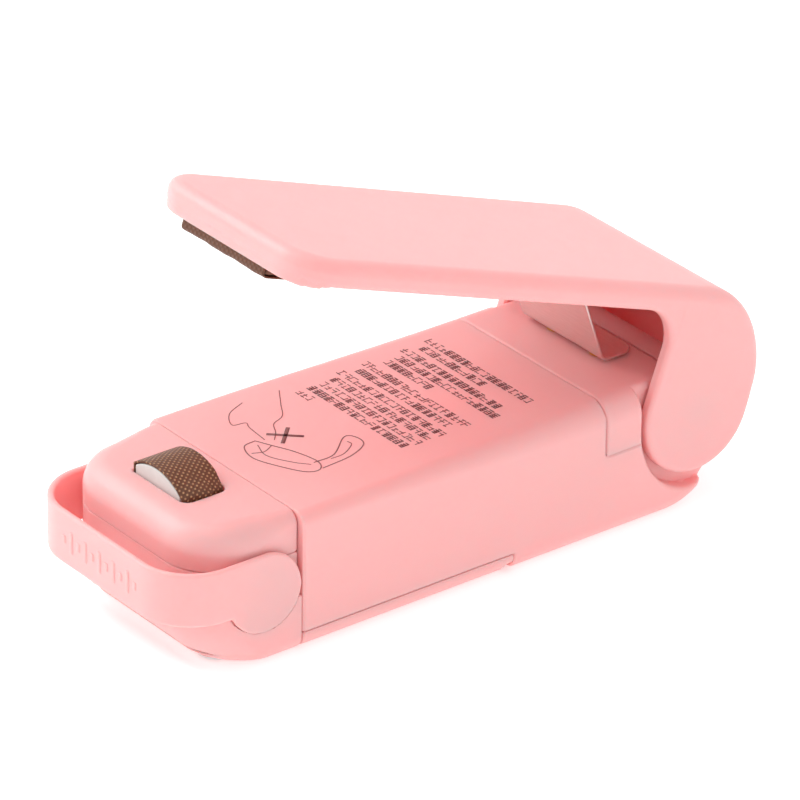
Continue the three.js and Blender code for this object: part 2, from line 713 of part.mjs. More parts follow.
function makeHeaterLead() {
  return tube(smooth([
    [CELL_X, PLATE_Y + 0.2, LEAD_END_Z],
    [CELL_X, PLATE_Y - 1, LEAD_END_Z],
    [TERMINAL_X, -6, HEATER_LOW - 1.5],
    [TERMINAL_X, -7, TERMINAL_Z],
  ]), WIRE, 14);
}

function makeReturnLead() {
  return tube(smooth([
    [-CELL_X + 2, PLATE_Y + 0.2, LEAD_END_Z],
    [-3.2, PLATE_Y + 0.6, LEAD_END_Z],
    [-VALLEY_X, 0.5, VALLEY_Z],
    [-VALLEY_X, 20, VALLEY_Z],
    [-VALLEY_X, 40, VALLEY_Z],
    [-1.4, 53.5, LEAD_END_Z],
    [-CONTACT_X, CONTACT_Y - 0.8, ROOF - 1.8],
    [-CONTACT_X, CONTACT_Y, ROOF - 1],
  ]), WIRE, 54);
}

function makeSwitchLead() {
  return tube(smooth([
    [CONTACT_X, CONTACT_Y, ROOF - 1],
    [CONTACT_X, CONTACT_Y - 0.8, ROOF - 1.8],
    [1.4, 53.5, LEAD_END_Z],
    [VALLEY_X, 40, VALLEY_Z],
    [VALLEY_X, 20, VALLEY_Z],
    [VALLEY_X, 0.5, VALLEY_Z],
    [0.2, PLATE_Y + 0.2, 13.2],
    [-1.5, PLATE_Y - 0.9, 12.2],
    [-5, PLATE_Y - 1.1, 11.8],
    [-TERMINAL_X, -5.4, TERMINAL_Z - 0.9],
    [-TERMINAL_X, -7, TERMINAL_Z],
  ]), WIRE, 60);
}

// A rivet through the rear cover: the foot of the leaf spring presses on its head.
function makeContact(x) {
  return join(
    cylinder("z", 1.6, x, CONTACT_Y, DECK + 0.05, DECK + 0.3),
    cylinder("z", 1, x, CONTACT_Y, ROOF - 0.5, DECK + 0.15, 16),
  );
}

// ---- Assembly ----

function mesh(name, shape, look) {
  const geometry = shape.isBufferGeometry ? shape : toGeometry(shape);
  const piece = new THREE.Mesh(geometry, new THREE.MeshStandardMaterial(look));
  piece.name = name;
  return piece;
}

function makeNose() {
  const nose = new THREE.Group();
  nose.add(
    mesh("nose_base", makeNoseBase(), PLASTIC),
    mesh("nose_cap", makeNoseCap(), PLASTIC),
    mesh("safety_guard", makeGuard(), PLASTIC),
    mesh("heater_block", makeHeaterBlock(), CERAMIC),
    mesh("heater_strip", makeHeaterStrip(), STEEL),
    mesh("heater_cloth", makeHeaterCloth(), BROWN_CLOTH),
  );
  const [screwX, screwY] = NOSE_SCREW;
  for (const [side, x] of [["right", -screwX], ["left", screwX]]) {
    nose.add(mesh(`nose_screw_${side}`, screw(x, screwY, 0.35, 14), STEEL));
  }
  return nose;
}

function makeBody() {
  const body = new THREE.Group();
  body.add(
    mesh("main_case", makeMainCase(), PLASTIC),
    mesh("rear_cover", makeRearCover(), PLASTIC),
    mesh("battery_door", makeBatteryDoor(), PLASTIC),
  );
  const [screwX, screwY] = COVER_SCREW;
  for (const [side, x] of [["right", -screwX], ["left", screwX]]) {
    body.add(mesh(`cover_screw_${side}`, screw(x, screwY, 0.05, 14), STEEL));
    body.add(mesh(`switch_contact_${side}`, makeContact(Math.sign(x) * CONTACT_X), BRASS));
  }
  return body;
}

function makePower() {
  const power = new THREE.Group();
  const frontTip = BAY_FRONT + 0.1;
  const backTip = BAY_BACK - 0.8;
  const leftCell = mesh("battery_left", makeCell(frontTip, frontTip + 10), CELL_SKIN);
  leftCell.position.set(CELL_X, 0, CELL_Z);
  const rightCell = mesh("battery_right", makeCell(backTip, backTip - 10), CELL_SKIN);
  rightCell.position.set(-CELL_X, 0, CELL_Z);
  const cellLength = CELL_BODY + CELL_NUB;
  power.add(
    leftCell,
    rightCell,
    mesh("plus_contact", makePlusContact(), STEEL),
    mesh("minus_contact", makeMinusContact(), STEEL),
    mesh("bridge_plate", makeBridgePlate(), STEEL),
    mesh("front_spring", coil(-CELL_X, PLATE_Y + 0.85, backTip - cellLength - 0.55), STEEL),
    mesh("rear_spring", coil(CELL_X, BAY_BACK - 1.15, frontTip + cellLength + 0.55), STEEL),
    mesh("heater_lead", makeHeaterLead(), RED_WIRE),
    mesh("return_lead", makeReturnLead(), BLACK_WIRE),
    mesh("switch_lead", makeSwitchLead(), RED_WIRE),
  );
  return power;
}

// The lever's own group turns about the hinge, so its pieces keep the places they are drawn at.
function makeLeverGroup() {
  const turning = new THREE.Group();
  turning.position.set(0, HINGE_Y, HINGE_Z);
  turning.rotation.x = -OPEN_ANGLE;
  const level = new THREE.Group();
  level.position.set(0, -HINGE_Y, -HINGE_Z);
  level.add(
    mesh("lever", makeLever(), PLASTIC),
    mesh("pressure_pad", makePressurePad(), SILICONE),
    mesh("pad_cloth", makePadCloth(), BROWN_CLOTH),
  );
  for (const [side, x] of [["right", -5], ["left", 5]]) {
    const head = LEAF_BOSS_FOOT - 0.1 - LEAF_THICK - 1.3;
    level.add(mesh(`leaf_screw_${side}`, screw(x, LEAF_SCREW_Y, head, 3.2), STEEL));
  }
  turning.add(level);
  return turning;
}

const group = new THREE.Group();
const pinHalf = HALF_WIDTH - CHEEK + 0.7;
const pin = cylinder("x", PIN_RADIUS, HINGE_Y, HINGE_Z, -pinHalf, pinHalf);
group.add(
  makeBody(),
  makeNose(),
  makePower(),
  makeLeverGroup(),
  mesh("leaf_spring", makeLeafSpring(), STEEL),
  mesh("hinge_pin", pin, STEEL),
);

// The middle of the open sealer, from the guard's front to the back of the lever.
const backOfLever = new THREE.Box3().setFromObject(group, true).max.y;
group.position.y = -(GUARD_Y - GUARD_REACH + backOfLever) / 2;

export default group;
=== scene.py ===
"""Handheld bag heat sealer: the looks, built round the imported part.

Each moulded shell is described by a distance field in millimetres, measured like the part itself:
X across, Y back from the seam between nose and case, Z up from the underside. The lever is
described level, as it is when it's pressed, and then opened.
"""

import json
import math

import bpy
import numpy as np
from mathutils import Matrix, Vector

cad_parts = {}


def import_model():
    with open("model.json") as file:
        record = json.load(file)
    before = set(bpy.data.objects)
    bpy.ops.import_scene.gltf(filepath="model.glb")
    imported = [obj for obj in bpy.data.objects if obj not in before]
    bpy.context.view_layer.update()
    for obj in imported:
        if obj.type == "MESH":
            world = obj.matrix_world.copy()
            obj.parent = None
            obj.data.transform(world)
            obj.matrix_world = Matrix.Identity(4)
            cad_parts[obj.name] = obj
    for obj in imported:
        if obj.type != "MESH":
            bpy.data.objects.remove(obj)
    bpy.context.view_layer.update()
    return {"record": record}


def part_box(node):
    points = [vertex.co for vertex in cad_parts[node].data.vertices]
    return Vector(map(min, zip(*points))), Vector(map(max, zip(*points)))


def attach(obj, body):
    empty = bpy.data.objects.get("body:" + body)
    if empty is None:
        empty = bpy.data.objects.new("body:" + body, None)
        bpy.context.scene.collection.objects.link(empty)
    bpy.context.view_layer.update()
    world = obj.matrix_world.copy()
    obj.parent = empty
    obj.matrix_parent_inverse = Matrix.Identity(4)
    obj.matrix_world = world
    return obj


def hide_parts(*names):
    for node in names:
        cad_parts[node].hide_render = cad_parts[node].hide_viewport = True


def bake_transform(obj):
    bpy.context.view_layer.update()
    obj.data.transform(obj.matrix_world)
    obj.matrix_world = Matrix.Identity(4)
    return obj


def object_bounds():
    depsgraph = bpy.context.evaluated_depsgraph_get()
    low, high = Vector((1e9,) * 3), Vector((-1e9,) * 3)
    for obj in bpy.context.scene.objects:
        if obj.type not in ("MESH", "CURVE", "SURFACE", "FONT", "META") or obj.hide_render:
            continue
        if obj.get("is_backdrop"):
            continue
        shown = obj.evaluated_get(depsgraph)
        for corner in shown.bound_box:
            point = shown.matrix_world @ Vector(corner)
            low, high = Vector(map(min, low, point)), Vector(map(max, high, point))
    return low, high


MM = 0.001
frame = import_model()

# ---- Sizes in millimetres. Those that the part already has are read from its boxes. ----

SEAM_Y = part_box("main_case")[0].y - 0.15 * MM  # in metres, where the nose meets the case


def node_box(name):
    """A node's lowest and highest corners in millimetres from the seam."""
    low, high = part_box(name)
    offset = Vector((0, SEAM_Y, 0))
    return (low - offset) / MM, (high - offset) / MM


TIGHT = 0.04  # half the gap between shells that are pressed together
CASE_LOW, CASE_HIGH = node_box("main_case")
COVER_LOW, COVER_HIGH = node_box("rear_cover")
DOOR_LOW, DOOR_HIGH = node_box("battery_door")
GUARD_LOW, GUARD_HIGH = node_box("safety_guard")
NOSE_LOW, NOSE_HIGH = node_box("nose_base")
CAP_LOW, CAP_HIGH = node_box("nose_cap")
BLOCK_LOW, BLOCK_HIGH = node_box("heater_block")
PIN_LOW, PIN_HIGH = node_box("hinge_pin")

HALF_WIDTH = CASE_HIGH.x
DECK = CASE_HIGH.z
DECK_LENGTH = COVER_LOW.y - 0.3
WALL = 1.8
ROOF = DECK - WALL
FLOOR = 1.6
GAP = 0.3
TOP_ROUND = 3.4
TOP_ROUND_FRONT = 1.9  # at the seam between nose and case
BOTTOM_ROUND = 2.2
REAR_ROUND = 10  # under the hinge
EDGE = 0.32  # rounding of the small moulded edges
FAR = 40  # past the end of anything

HINGE_Y = (PIN_LOW.y + PIN_HIGH.y) / 2
HINGE_Z = (PIN_LOW.z + PIN_HIGH.z) / 2
OPEN_ANGLE = math.radians(20)
PIN_HOLE = 1.5
LOBE = 9.0
RECESS = LOBE + 2.2
RECESS_FRONT = LOBE + 0.7
RECESS_X = HALF_WIDTH - WALL - GAP
LEVER_TIP = -9.2
LEVER_UNDER = DECK + 7.7
LEVER_TOP = LEVER_UNDER + 3.5
LEVER_CORNER = 6.5
LEVER_ROUND = 2.1
BACK_ROUND = 12.5
NECK_FILLET = 5.5
LEVER_LEAN = 0.2  # how far its front end leans back for each millimetre up
LEVER_WALL_END = 0.13 * math.pi  # below the hinge's level, where the heel's inside wall ends
LEVER_RIBS = (8, 18, 28)
LIP_DROP = 0.8
LIP_THICK = 0.6
LIP_LENGTH = 9  # back from the lever's tip

NOSE_FRONT = CAP_LOW.y
NOSE_CORNER = 7.2
NOSE_HALF = CAP_HIGH.x
NOSE_TAPER = 0.85  # how much narrower the nose is at its front, each side
NOSE_SPLIT = DECK - 5.7
NOSE_TOP_ROUND = 3.6
NOSE_BOW = 6.4
BASE_WALL = 1.2
CAP_WALL = 1.4
GUARD_Y = -5.9
GUARD_Z = DECK - 9.5
GUARD_END = GUARD_HIGH.z - GUARD_Z
GUARD_FOOT = GUARD_Z - 2.1
GUARD_CORNER = 8.0
SHOULDER = GUARD_FOOT - 2 * TIGHT  # top of the nose's lower skirt
GUARD_WALL = 0.95
GUARD_STUD = 1.2
GUARD_RIBS = 5  # on each side of the middle one
GUARD_RIB_PITCH = 1.55

HEATER_HALF = 4.85
HEATER_X = -0.7  # the heater sits a little to one side
HEATER_FRONT = -10.3
HEATER_BACK = -3.6
DOME_RADIUS = 8.15
DOME_TOP = BLOCK_HIGH.z
DOME_CENTRE = DOME_TOP - DOME_RADIUS
DOME_LEAN = -0.45  # the dome leans the same way
DOME_X = HEATER_X + DOME_LEAN
STRIP_Y = -7
STRIP_HALF = 1.3

PAD_HALF = 9.4
PAD_FRONT = LEVER_TIP + LIP_THICK + GAP
PAD_BACK = -2.4
PAD_LOW = LEVER_UNDER - 2.2
PAD_EDGE = 8.7
PAD_VISIBLE_LOW = PAD_LOW + 0.2
PAD_REAR = PAD_BACK - 0.6
CLOTH_THICK = 0.28
PAD_CLOTH_THICK = 0.22

LEAF_HALF = 8.4
LEAF_THICK = 0.42
LEAF_TAB_START = 40.4
LEAF_TAB_END = 47.0
LEAF_BEND = (57.3, DECK + 0.82)
LEAF_FOOT_END = 62.8
LEAF_X = -0.8

BAY_HALF = HALF_WIDTH - WALL - 0.2
BAY_BACK = 53.2
SWITCH_BAY = (54.8, 62)  # from front to back, under the leaf's foot
SWITCH_BAY_HALF = 13
SKIRT_SPLIT = DECK - 8
DOOR_TOP = 2.6
DOOR_CLEARANCE = 0.1  # between the door's underside and the ground

COVER_SCREW = (10.4, 58.4)
NOSE_SCREW = (10.2, -9.2)
SCREW_HEAD_HOLE = 2.2


def world(points):
    """Millimetres from the seam to metres in the row frame."""
    return np.asarray(points, float) * MM + np.array([0.0, SEAM_Y, 0.0])


def opened(points):
    """Where points of the level lever go when it is open."""
    points = np.array(points, float)
    y = points[:, 1] - HINGE_Y
    z = points[:, 2] - HINGE_Z
    points[:, 1] = HINGE_Y + y * math.cos(OPEN_ANGLE) + z * math.sin(OPEN_ANGLE)
    points[:, 2] = HINGE_Z - y * math.sin(OPEN_ANGLE) + z * math.cos(OPEN_ANGLE)
    return points


# ---- Distance fields ----


def union(a, b, r=0.0):
    """Both shapes, with a fillet of radius r where they meet."""
    if r == 0:
        return np.minimum(a, b)
    return np.maximum(np.minimum(a, b), r) - np.hypot(np.maximum(r - a, 0), np.maximum(r - b, 0))


def common(a, b, r=EDGE):
    """What two shapes share, with its edge rounded to radius r."""
    return np.minimum(np.maximum(a, b), -r) + np.hypot(np.maximum(r + a, 0), np.maximum(r + b, 0))


def cut(a, b, r=EDGE):
    return common(a, -b, r)


def rectangle(u, v, u0, u1, v0, v1, round0=0.0, round1=0.0, round2=0.0, round3=0.0):
    """A rectangle with its own rounding at (u0,v0), (u1,v0), (u1,v1) and (u0,v1)."""
    du = u - (u0 + u1) / 2
    dv = v - (v0 + v1) / 2
    right = np.where(dv > 0, round2, round1)
    left = np.where(dv > 0, round3, round0)
    r = np.where(du > 0, right, left)
    a = np.abs(du) - (u1 - u0) / 2 + r
    b = np.abs(dv) - (v1 - v0) / 2 + r
    return np.minimum(np.maximum(a, b), 0) + np.hypot(np.maximum(a, 0), np.maximum(b, 0)) - r


def block(x, y, z, x0, x1, y0, y1, z0, z1, r=EDGE):
    """A box with rounded edges."""
    sides = [
        np.abs(p - (low + high) / 2) - (high - low) / 2 + r
        for p, low, high in ((x, x0, x1), (y, y0, y1), (z, z0, z1))
    ]
    deepest = np.maximum(np.maximum(sides[0], sides[1]), sides[2])
    outward = np.sqrt(sum(np.maximum(side, 0) ** 2 for side in sides))
    return np.minimum(deepest, 0) + outward - r


def post(x, y, radius, at_x, at_y):
    """An endless upright cylinder."""
    return np.hypot(x - at_x, y - at_y) - radius


def between(value, low, high):
    """An endless slab."""
    return np.abs(value - (low + high) / 2) - (high - low) / 2


def ease(value, low, high):
    """A smooth step from 0 at low to 1 at high."""
    t = np.clip((value - low) / (high - low), 0, 1)
    return t * t * (3 - 2 * t)


# ---- Meshing a field ----


def nets(values):
    """A quad mesh between the grid points inside and outside a field: cells' indices, and quads."""
    inside = values < 0
    mixed = np.zeros([n - 1 for n in values.shape], int)
    for corner in np.ndindex(2, 2, 2):
        mixed += inside[tuple(slice(c, c - 1 or None) for c in corner)]
    cells = np.argwhere((mixed > 0) & (mixed < 8))
    number = np.full(mixed.shape, -1)
    number[tuple(cells.T)] = np.arange(len(cells))
    quads = []
    for axis in range(3):
        side_a, side_b = [other for other in range(3) if other != axis]
        near = np.take(inside, range(values.shape[axis] - 1), axis)
        far = np.take(inside, range(1, values.shape[axis]), axis)
        edges = np.argwhere(near != far)
        leaving = near[tuple(edges.T)]
        ring = []
        for step_a, step_b in ((1, 1), (0, 1), (0, 0), (1, 0)):
            cell = edges.copy()
            cell[:, side_a] -= step_a
            cell[:, side_b] -= step_b
            ring.append(number[tuple(cell.T)])
        ring = np.stack(ring, 1)
        flip = leaving if axis == 1 else ~leaving
        ring[flip] = ring[flip][:, ::-1]
        quads.append(ring)
    return cells, np.concatenate(quads)


def slope(field, points):
    """The field's value and gradient at points."""
    step = 0.01
    value = field(*points.T)
    gradient = np.stack([
        (field(*(points + offset).T) - field(*(points - offset).T)) / (2 * step)
        for offset in np.eye(3) * step
    ], 1)
    return value, gradient


def relax(field, points, quads, cell):
    """Pulls the points onto the surface, then spreads them evenly and pulls them back on."""
    starts = np.concatenate([quads[:, i] for i in range(4)])
    ends = np.concatenate([quads[:, (i + 1) % 4] for i in range(4)])
    ends, starts = np.concatenate([ends, starts]), np.concatenate([starts, ends])
    share = np.bincount(starts, minlength=len(points))[:, None]
    for turn in range(4):
        if turn > 0:
            total = np.stack([
                np.bincount(starts, weights=points[ends, k], minlength=len(points)) for k in range(3)
            ], 1)
            points = 0.5 * points + 0.5 * total / share
        for _ in range(2):
            value, gradient = slope(field, points)
            steepness = np.maximum((gradient ** 2).sum(1), 0.25)
            shift = np.clip(value / steepness, -cell, cell)[:, None] * gradient
            points = points - shift
    return points


def corner_normals(points, quads, normals):
    """The surface's own normal at each face's corners, or the face's where they disagree."""
    same = 0.85  # the cosine of the most that they may differ by
    flat = np.cross(points[quads[:, 2]] - points[quads[:, 0]], points[quads[:, 3]] - points[quads[:, 1]])
    flat /= np.maximum(np.linalg.norm(flat, axis=1), 1e-15)[:, None]
    corners = normals[quads]
    flat = np.repeat(flat[:, None], 4, 1)
    agree = (corners * flat).sum(2) > same
    return np.where(agree[:, :, None], corners, flat).reshape(-1, 3)


def mesh_object(name, points, faces, body, normals=None):
    """A smooth-shaded piece from points in metres, riding on body if one is given."""
    mesh = bpy.data.meshes.new(name)
    mesh.from_pydata(points.tolist(), [], faces.tolist())
    mesh.shade_smooth()
    if normals is not None:
        mesh.normals_split_custom_set(corner_normals(points, faces, normals).tolist())
    piece = bpy.data.objects.new(name, mesh)
    bpy.context.scene.collection.objects.link(piece)
    if body:
        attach(piece, body)
    return piece


def moulding(name, field, low, high, cell, body, place=None):
    """The closed surface where a field is zero, as a smooth-shaded piece that rides on body."""
    origin = np.array(low) - 2 * cell
    counts = ((np.array(high) - origin) / cell).astype(int) + 3
    axes = [origin[k] + cell * np.arange(counts[k]) for k in range(3)]
    values = field(*np.meshgrid(*axes, indexing="ij", sparse=True))
    cells, quads = nets(values)
    points = relax(field, origin + (cells + 0.5) * cell, quads, cell)
    _, normals = slope(field, points)
    normals /= np.maximum(np.linalg.norm(normals, axis=1), 1e-9)[:, None]
    if place:
        tips = place(points + normals)
        points = place(points)
        normals = tips - points
    return mesh_object(name, world(points), quads, body, normals)


# ---- The case, its rear cover and the battery door ----


def body_field(x, y, z):
    """The outside of the battery body, open at its front."""
    side = rectangle(y, z, -30, CASE_HIGH.y, 0, DECK, 0, REAR_ROUND, DECK - HINGE_Z, 0)
    top_round = TOP_ROUND_FRONT + (TOP_ROUND - TOP_ROUND_FRONT) * ease(y, 5, 50)
    return common(side, np.abs(x) - HALF_WIDTH, np.where(z > DECK / 2, top_round, BOTTOM_ROUND))


def recess_field(x, y, z):
    """The space for the lever's cheeks, on both sides: close in front of them, wider below."""
    reach = (y - HINGE_Y) * np.where(y < HINGE_Y, RECESS / RECESS_FRONT, 1)
    stadium = np.hypot(reach, np.minimum(z - HINGE_Z, 0)) - RECESS
    return np.maximum(stadium, RECESS_X - np.abs(x))


def case_field(x, y, z):
    """A shell open at its front, with the battery bay, and a step for the cover's skirts."""
    case = common(body_field(x, y, z), TIGHT - y)
    case = cut(case, recess_field(x, y, z), 0.7)
    case = cut(case, block(x, y, z, -BAY_HALF, BAY_HALF, -9, BAY_BACK, FLOOR, ROOF))
    lid = np.maximum(y - DOOR_HIGH.y - 2 * TIGHT, z - DOOR_TOP - TIGHT)
    case = cut(case, lid, 0.06)
    deck = block(x, y, z, -30, 30, DECK_LENGTH, COVER_HIGH.y + GAP, ROOF - GAP, DECK + 20, 0.05)
    case = cut(case, deck, 0.05)
    skirt = np.maximum(np.maximum(cover_hollow(y) - 0.1 - np.abs(x), SKIRT_SPLIT + GAP - z),
                       between(y, DECK_LENGTH, COVER_HIGH.y + GAP))
    case = cut(case, skirt, 0.05)
    switch_bay = block(x, y, z, -SWITCH_BAY_HALF, SWITCH_BAY_HALF, *SWITCH_BAY, FLOOR, ROOF + 1)
    case = cut(case, switch_bay)
    case = cut(case, np.hypot(y - HINGE_Y, z - HINGE_Z) - PIN_HOLE, 0.2)
    screw_hole = post(np.abs(x), y, SCREW_HEAD_HOLE, *COVER_SCREW)
    return cut(case, np.maximum(screw_hole, z - 1.3), 0.2)


def cover_hollow(y):
    """Half the width of the space between the cover's skirts, which step in beside the lever."""
    return np.where(y < HINGE_Y - RECESS, BAY_HALF, 13.2)


def cover_field(x, y, z):
    """The deck's rear part, with its skirts and its screw bosses."""
    cover = common(body_field(x, y, z), between(y, DECK_LENGTH + 2 * TIGHT, COVER_HIGH.y), 0.4)
    cover = cut(cover, recess_field(x, y, z), 0.7)
    cover = common(cover, SKIRT_SPLIT + GAP - z, 0.02)
    cover = cut(cover, np.maximum(np.abs(x) - cover_hollow(y), z - ROOF + GAP))
    boss = common(post(np.abs(x), y, 2.4, *COVER_SCREW), between(z, 8, DECK - 0.5))
    hole = np.maximum(post(np.abs(x), y, 1.1, *COVER_SCREW), z - 16)
    return cut(union(cover, boss), hole, 0.15)


def door_field(x, y, z):
    """The lid under the case, notched at its rear corners and with a rib between the cells."""
    lid = common(body_field(x, y, z - DOOR_CLEARANCE), between(y, 2 * TIGHT, DOOR_HIGH.y))
    lid = common(lid, z - DOOR_TOP, 0.06)
    lid = cut(lid, np.maximum(np.abs(x) - BAY_HALF, FLOOR - z))
    notch = block(np.abs(x), y, z, HALF_WIDTH - 3.6, 30, DOOR_HIGH.y - 1.3, 60, -9, 1.4)
    lid = cut(lid, notch)
    rib = block(x, y, z, -0.9, 0.9, 4, DOOR_HIGH.y - 3, FLOOR - 0.5, FLOOR + 2.3)
    return union(lid, rib)


# ---- The nose and its guard ----


def nose_plan(x, y, half, inset=0.0):
    """The nose from above, open at its rear and narrower at its front."""
    taper = NOSE_TAPER * np.clip((-6 - y) / (-6 - NOSE_FRONT), 0, 1)
    wide = np.abs(x) + taper
    return rectangle(wide, y, -FAR, half - inset, NOSE_FRONT + inset, FAR, 0, NOSE_CORNER - inset)


def nose_rounding(plan, z, y):
    """Rounds a plan's upper and lower edges, more so at the bow."""
    brow = TOP_ROUND_FRONT + (NOSE_TOP_ROUND - TOP_ROUND_FRONT) * ease(-y, 0, 8)
    solid = common(plan, z - DECK, brow)
    bow = BOTTOM_ROUND + (NOSE_BOW - BOTTOM_ROUND) * ease(-y, 5, 13)
    return common(solid, -z, bow)


def nose_base_field(x, y, z):
    """The nose's lower shell: a skirt as wide as the case, and a narrower wall for the guard."""
    skirt = nose_rounding(nose_plan(x, y, NOSE_HIGH.x), z, y)
    skirt = common(skirt, z - SHOULDER, 0.25)
    upper = nose_rounding(nose_plan(x, y, NOSE_HALF), z, y)
    upper = common(upper, z - NOSE_SPLIT + TIGHT, 0.2)
    base = union(skirt, upper)
    arm = np.hypot(y - GUARD_Y, z - GUARD_Z) - GUARD_END - TIGHT
    base = cut(base, np.maximum(arm, NOSE_HALF - np.abs(x)), 0.06)
    base = common(base, y + TIGHT)
    hollow = np.maximum(nose_plan(x, y, NOSE_HALF, BASE_WALL), FLOOR - z)
    boss = common(post(np.abs(x), y, 2.6, *NOSE_SCREW), between(z, 0.4, 11.5))
    base = union(cut(base, hollow), boss)
    hole = np.maximum(post(np.abs(x), y, SCREW_HEAD_HOLE, *NOSE_SCREW), z - 1.6)
    shank = post(np.abs(x), y, 1.15, *NOSE_SCREW)
    stud = np.hypot(y - GUARD_Y, z - GUARD_Z) - GUARD_STUD - 0.25
    return cut(cut(base, union(hole, shank), 0.2), stud, 0.2)


def cap_field(x, y, z):
    """The nose's upper shell, with the heater's pocket and the tab that hooks under the case."""
    cap = nose_rounding(nose_plan(x, y, NOSE_HALF), z, y)
    cap = common(cap, NOSE_SPLIT + TIGHT - z, 0.2)
    cap = common(cap, y + TIGHT, 0.4)
    hollow = np.maximum(nose_plan(x, y, NOSE_HALF, CAP_WALL), z - ROOF)
    pocket = rectangle(x - HEATER_X, y, -HEATER_HALF - 0.5, HEATER_HALF + 1.3, HEATER_FRONT - 0.08,
                       HEATER_BACK + 0.2, 0.3, 1.4, 1.4, 0.3)
    cap = cut(cut(cap, hollow), pocket, 0.35)
    boss = common(post(np.abs(x), y, 2.2, *NOSE_SCREW), between(z, 11.9, ROOF + 0.6))
    tab_half, tab_front = 2.4, -2.2
    tab = block(x, y, z, -tab_half, tab_half, tab_front, 4, ROOF - 1.7, ROOF - GAP)
    riser = block(x, y, z, -tab_half, tab_half, tab_front, -0.2, ROOF - 1.7, ROOF + 0.9)
    return union(union(cap, boss), union(tab, riser))


def guard_field(x, y, z):
    """The band round the nose, its two round arm ends with their studs, and a row of ribs."""
    front = GUARD_LOW.y
    rear = GUARD_Y + GUARD_END
    outer = rectangle(np.abs(x), y, -FAR, HALF_WIDTH, front, FAR, 0, GUARD_CORNER)
    inner = rectangle(np.abs(x), y, -FAR, HALF_WIDTH - GUARD_WALL, front + GUARD_WALL, FAR, 0,
                      GUARD_CORNER - GUARD_WALL)
    wall = np.maximum(outer, -inner)
    arm_end = np.hypot(y - GUARD_Y, z - GUARD_Z) - GUARD_END
    band = rectangle(y, z, front - 9, GUARD_Y, GUARD_FOOT, GUARD_HIGH.z)
    side = union(arm_end, band)
    soft = np.maximum(ease(GUARD_Y - y, 3, 6), ease(z, GUARD_Z - 1, GUARD_Z + 2))
    guard = common(wall, side, 0.08 + 0.34 * soft)
    guard = common(guard, y - rear - 1)
    reach = between(np.abs(x), NOSE_HALF - 1, HALF_WIDTH - 0.5)
    stud = common(np.hypot(y - GUARD_Y, z - GUARD_Z) - GUARD_STUD, reach, 0.3)
    nearest = np.round(x / GUARD_RIB_PITCH)
    across = x - GUARD_RIB_PITCH * np.clip(nearest, -GUARD_RIBS, GUARD_RIBS)
    middle = (GUARD_FOOT + GUARD_HIGH.z) / 2
    tall = 1.1 + 0.5 * np.cos(nearest * math.pi)
    rib = block(across, y, (z - middle) / tall, -0.35, 0.35, front - 0.16, front + 0.3, -1, 1, 0.16)
    return union(union(guard, stud), rib)


# ---- The lever ----


def back_corner(y, z, r):
    """The big rounding of the lever's heel, as an endless corner."""
    a = y - (HINGE_Y + LOBE - BACK_ROUND)
    b = z - (LEVER_TOP - BACK_ROUND)
    outside = np.hypot(np.maximum(a, 0), np.maximum(b, 0))
    return np.minimum(np.maximum(a, b), 0) + outside - r


def lever_side(y, z):
    """The lever from its side: bar, neck, and the lobe round the hinge. It has no front end."""
    neck = HINGE_Y - LOBE
    bar = np.maximum(back_corner(y, z, BACK_ROUND), LEVER_UNDER - z)
    below = np.hypot(y - HINGE_Y, np.minimum(z - HINGE_Z, 0)) - LOBE
    column = np.maximum(below, back_corner(y, z, BACK_ROUND))
    a = y - (neck - NECK_FILLET)
    b = z - (LEVER_UNDER - NECK_FILLET)
    fillet = np.maximum(NECK_FILLET - np.hypot(a, b), rectangle(
        y, z, neck - NECK_FILLET, neck + 1, LEVER_UNDER - NECK_FILLET, LEVER_UNDER + 1))
    return union(union(bar, column), fillet)


def lever_plan(x, y, z, inset, corner):
    """The lever from above: its sides, and its rounded front end that leans back."""
    lean = LEVER_LEAN * (z - LEVER_UNDER)
    front = LEVER_TIP + inset
    return rectangle(np.abs(x), y + lean, -FAR, HALF_WIDTH - inset, front, 10 * FAR, 0, corner)


def lever_shell(x, y, z):
    """The hollow lever, with larger roundings on top and round its heel than underneath."""
    upper = ease(z, LEVER_UNDER + 0.4, LEVER_UNDER + 2)
    heel = ease(z, HINGE_Z, LEVER_UNDER)
    high = upper + (heel - upper) * ease(y, HINGE_Y - 10, HINGE_Y - 2)
    low_round = 0.7
    rounding = low_round + (LEVER_ROUND - low_round) * high
    solid = common(lever_side(y, z), lever_plan(x, y, z, 0, LEVER_CORNER), rounding)
    side = back_corner(y, z, BACK_ROUND - WALL)
    under = (y - HINGE_Y) * math.sin(LEVER_WALL_END) + (z - HINGE_Z) * math.cos(LEVER_WALL_END)
    side = union(side, np.maximum(under, HINGE_Y - y))
    hollow = common(side, lever_plan(x, y, z, WALL, LEVER_CORNER - 1.5), 0.8)
    return cut(solid, hollow)


def lever_lip(x, y, z):
    """A thin lip that hangs round the lever's front end and fades out along its sides."""
    rim = np.maximum(lever_plan(x, y, z, 0.08, LEVER_CORNER),
                     -lever_plan(x, y, z, LIP_THICK + 0.1, LEVER_CORNER - LIP_THICK))
    drop = LIP_DROP - (LIP_DROP + 0.9) * ease(y, LEVER_TIP + 1.5, LEVER_TIP + LIP_LENGTH - 1)
    lip = common(rim, between(z, LEVER_UNDER - drop, LEVER_UNDER + 1.6), 0.25)
    return np.maximum(lip, y - LEVER_TIP - LIP_LENGTH)


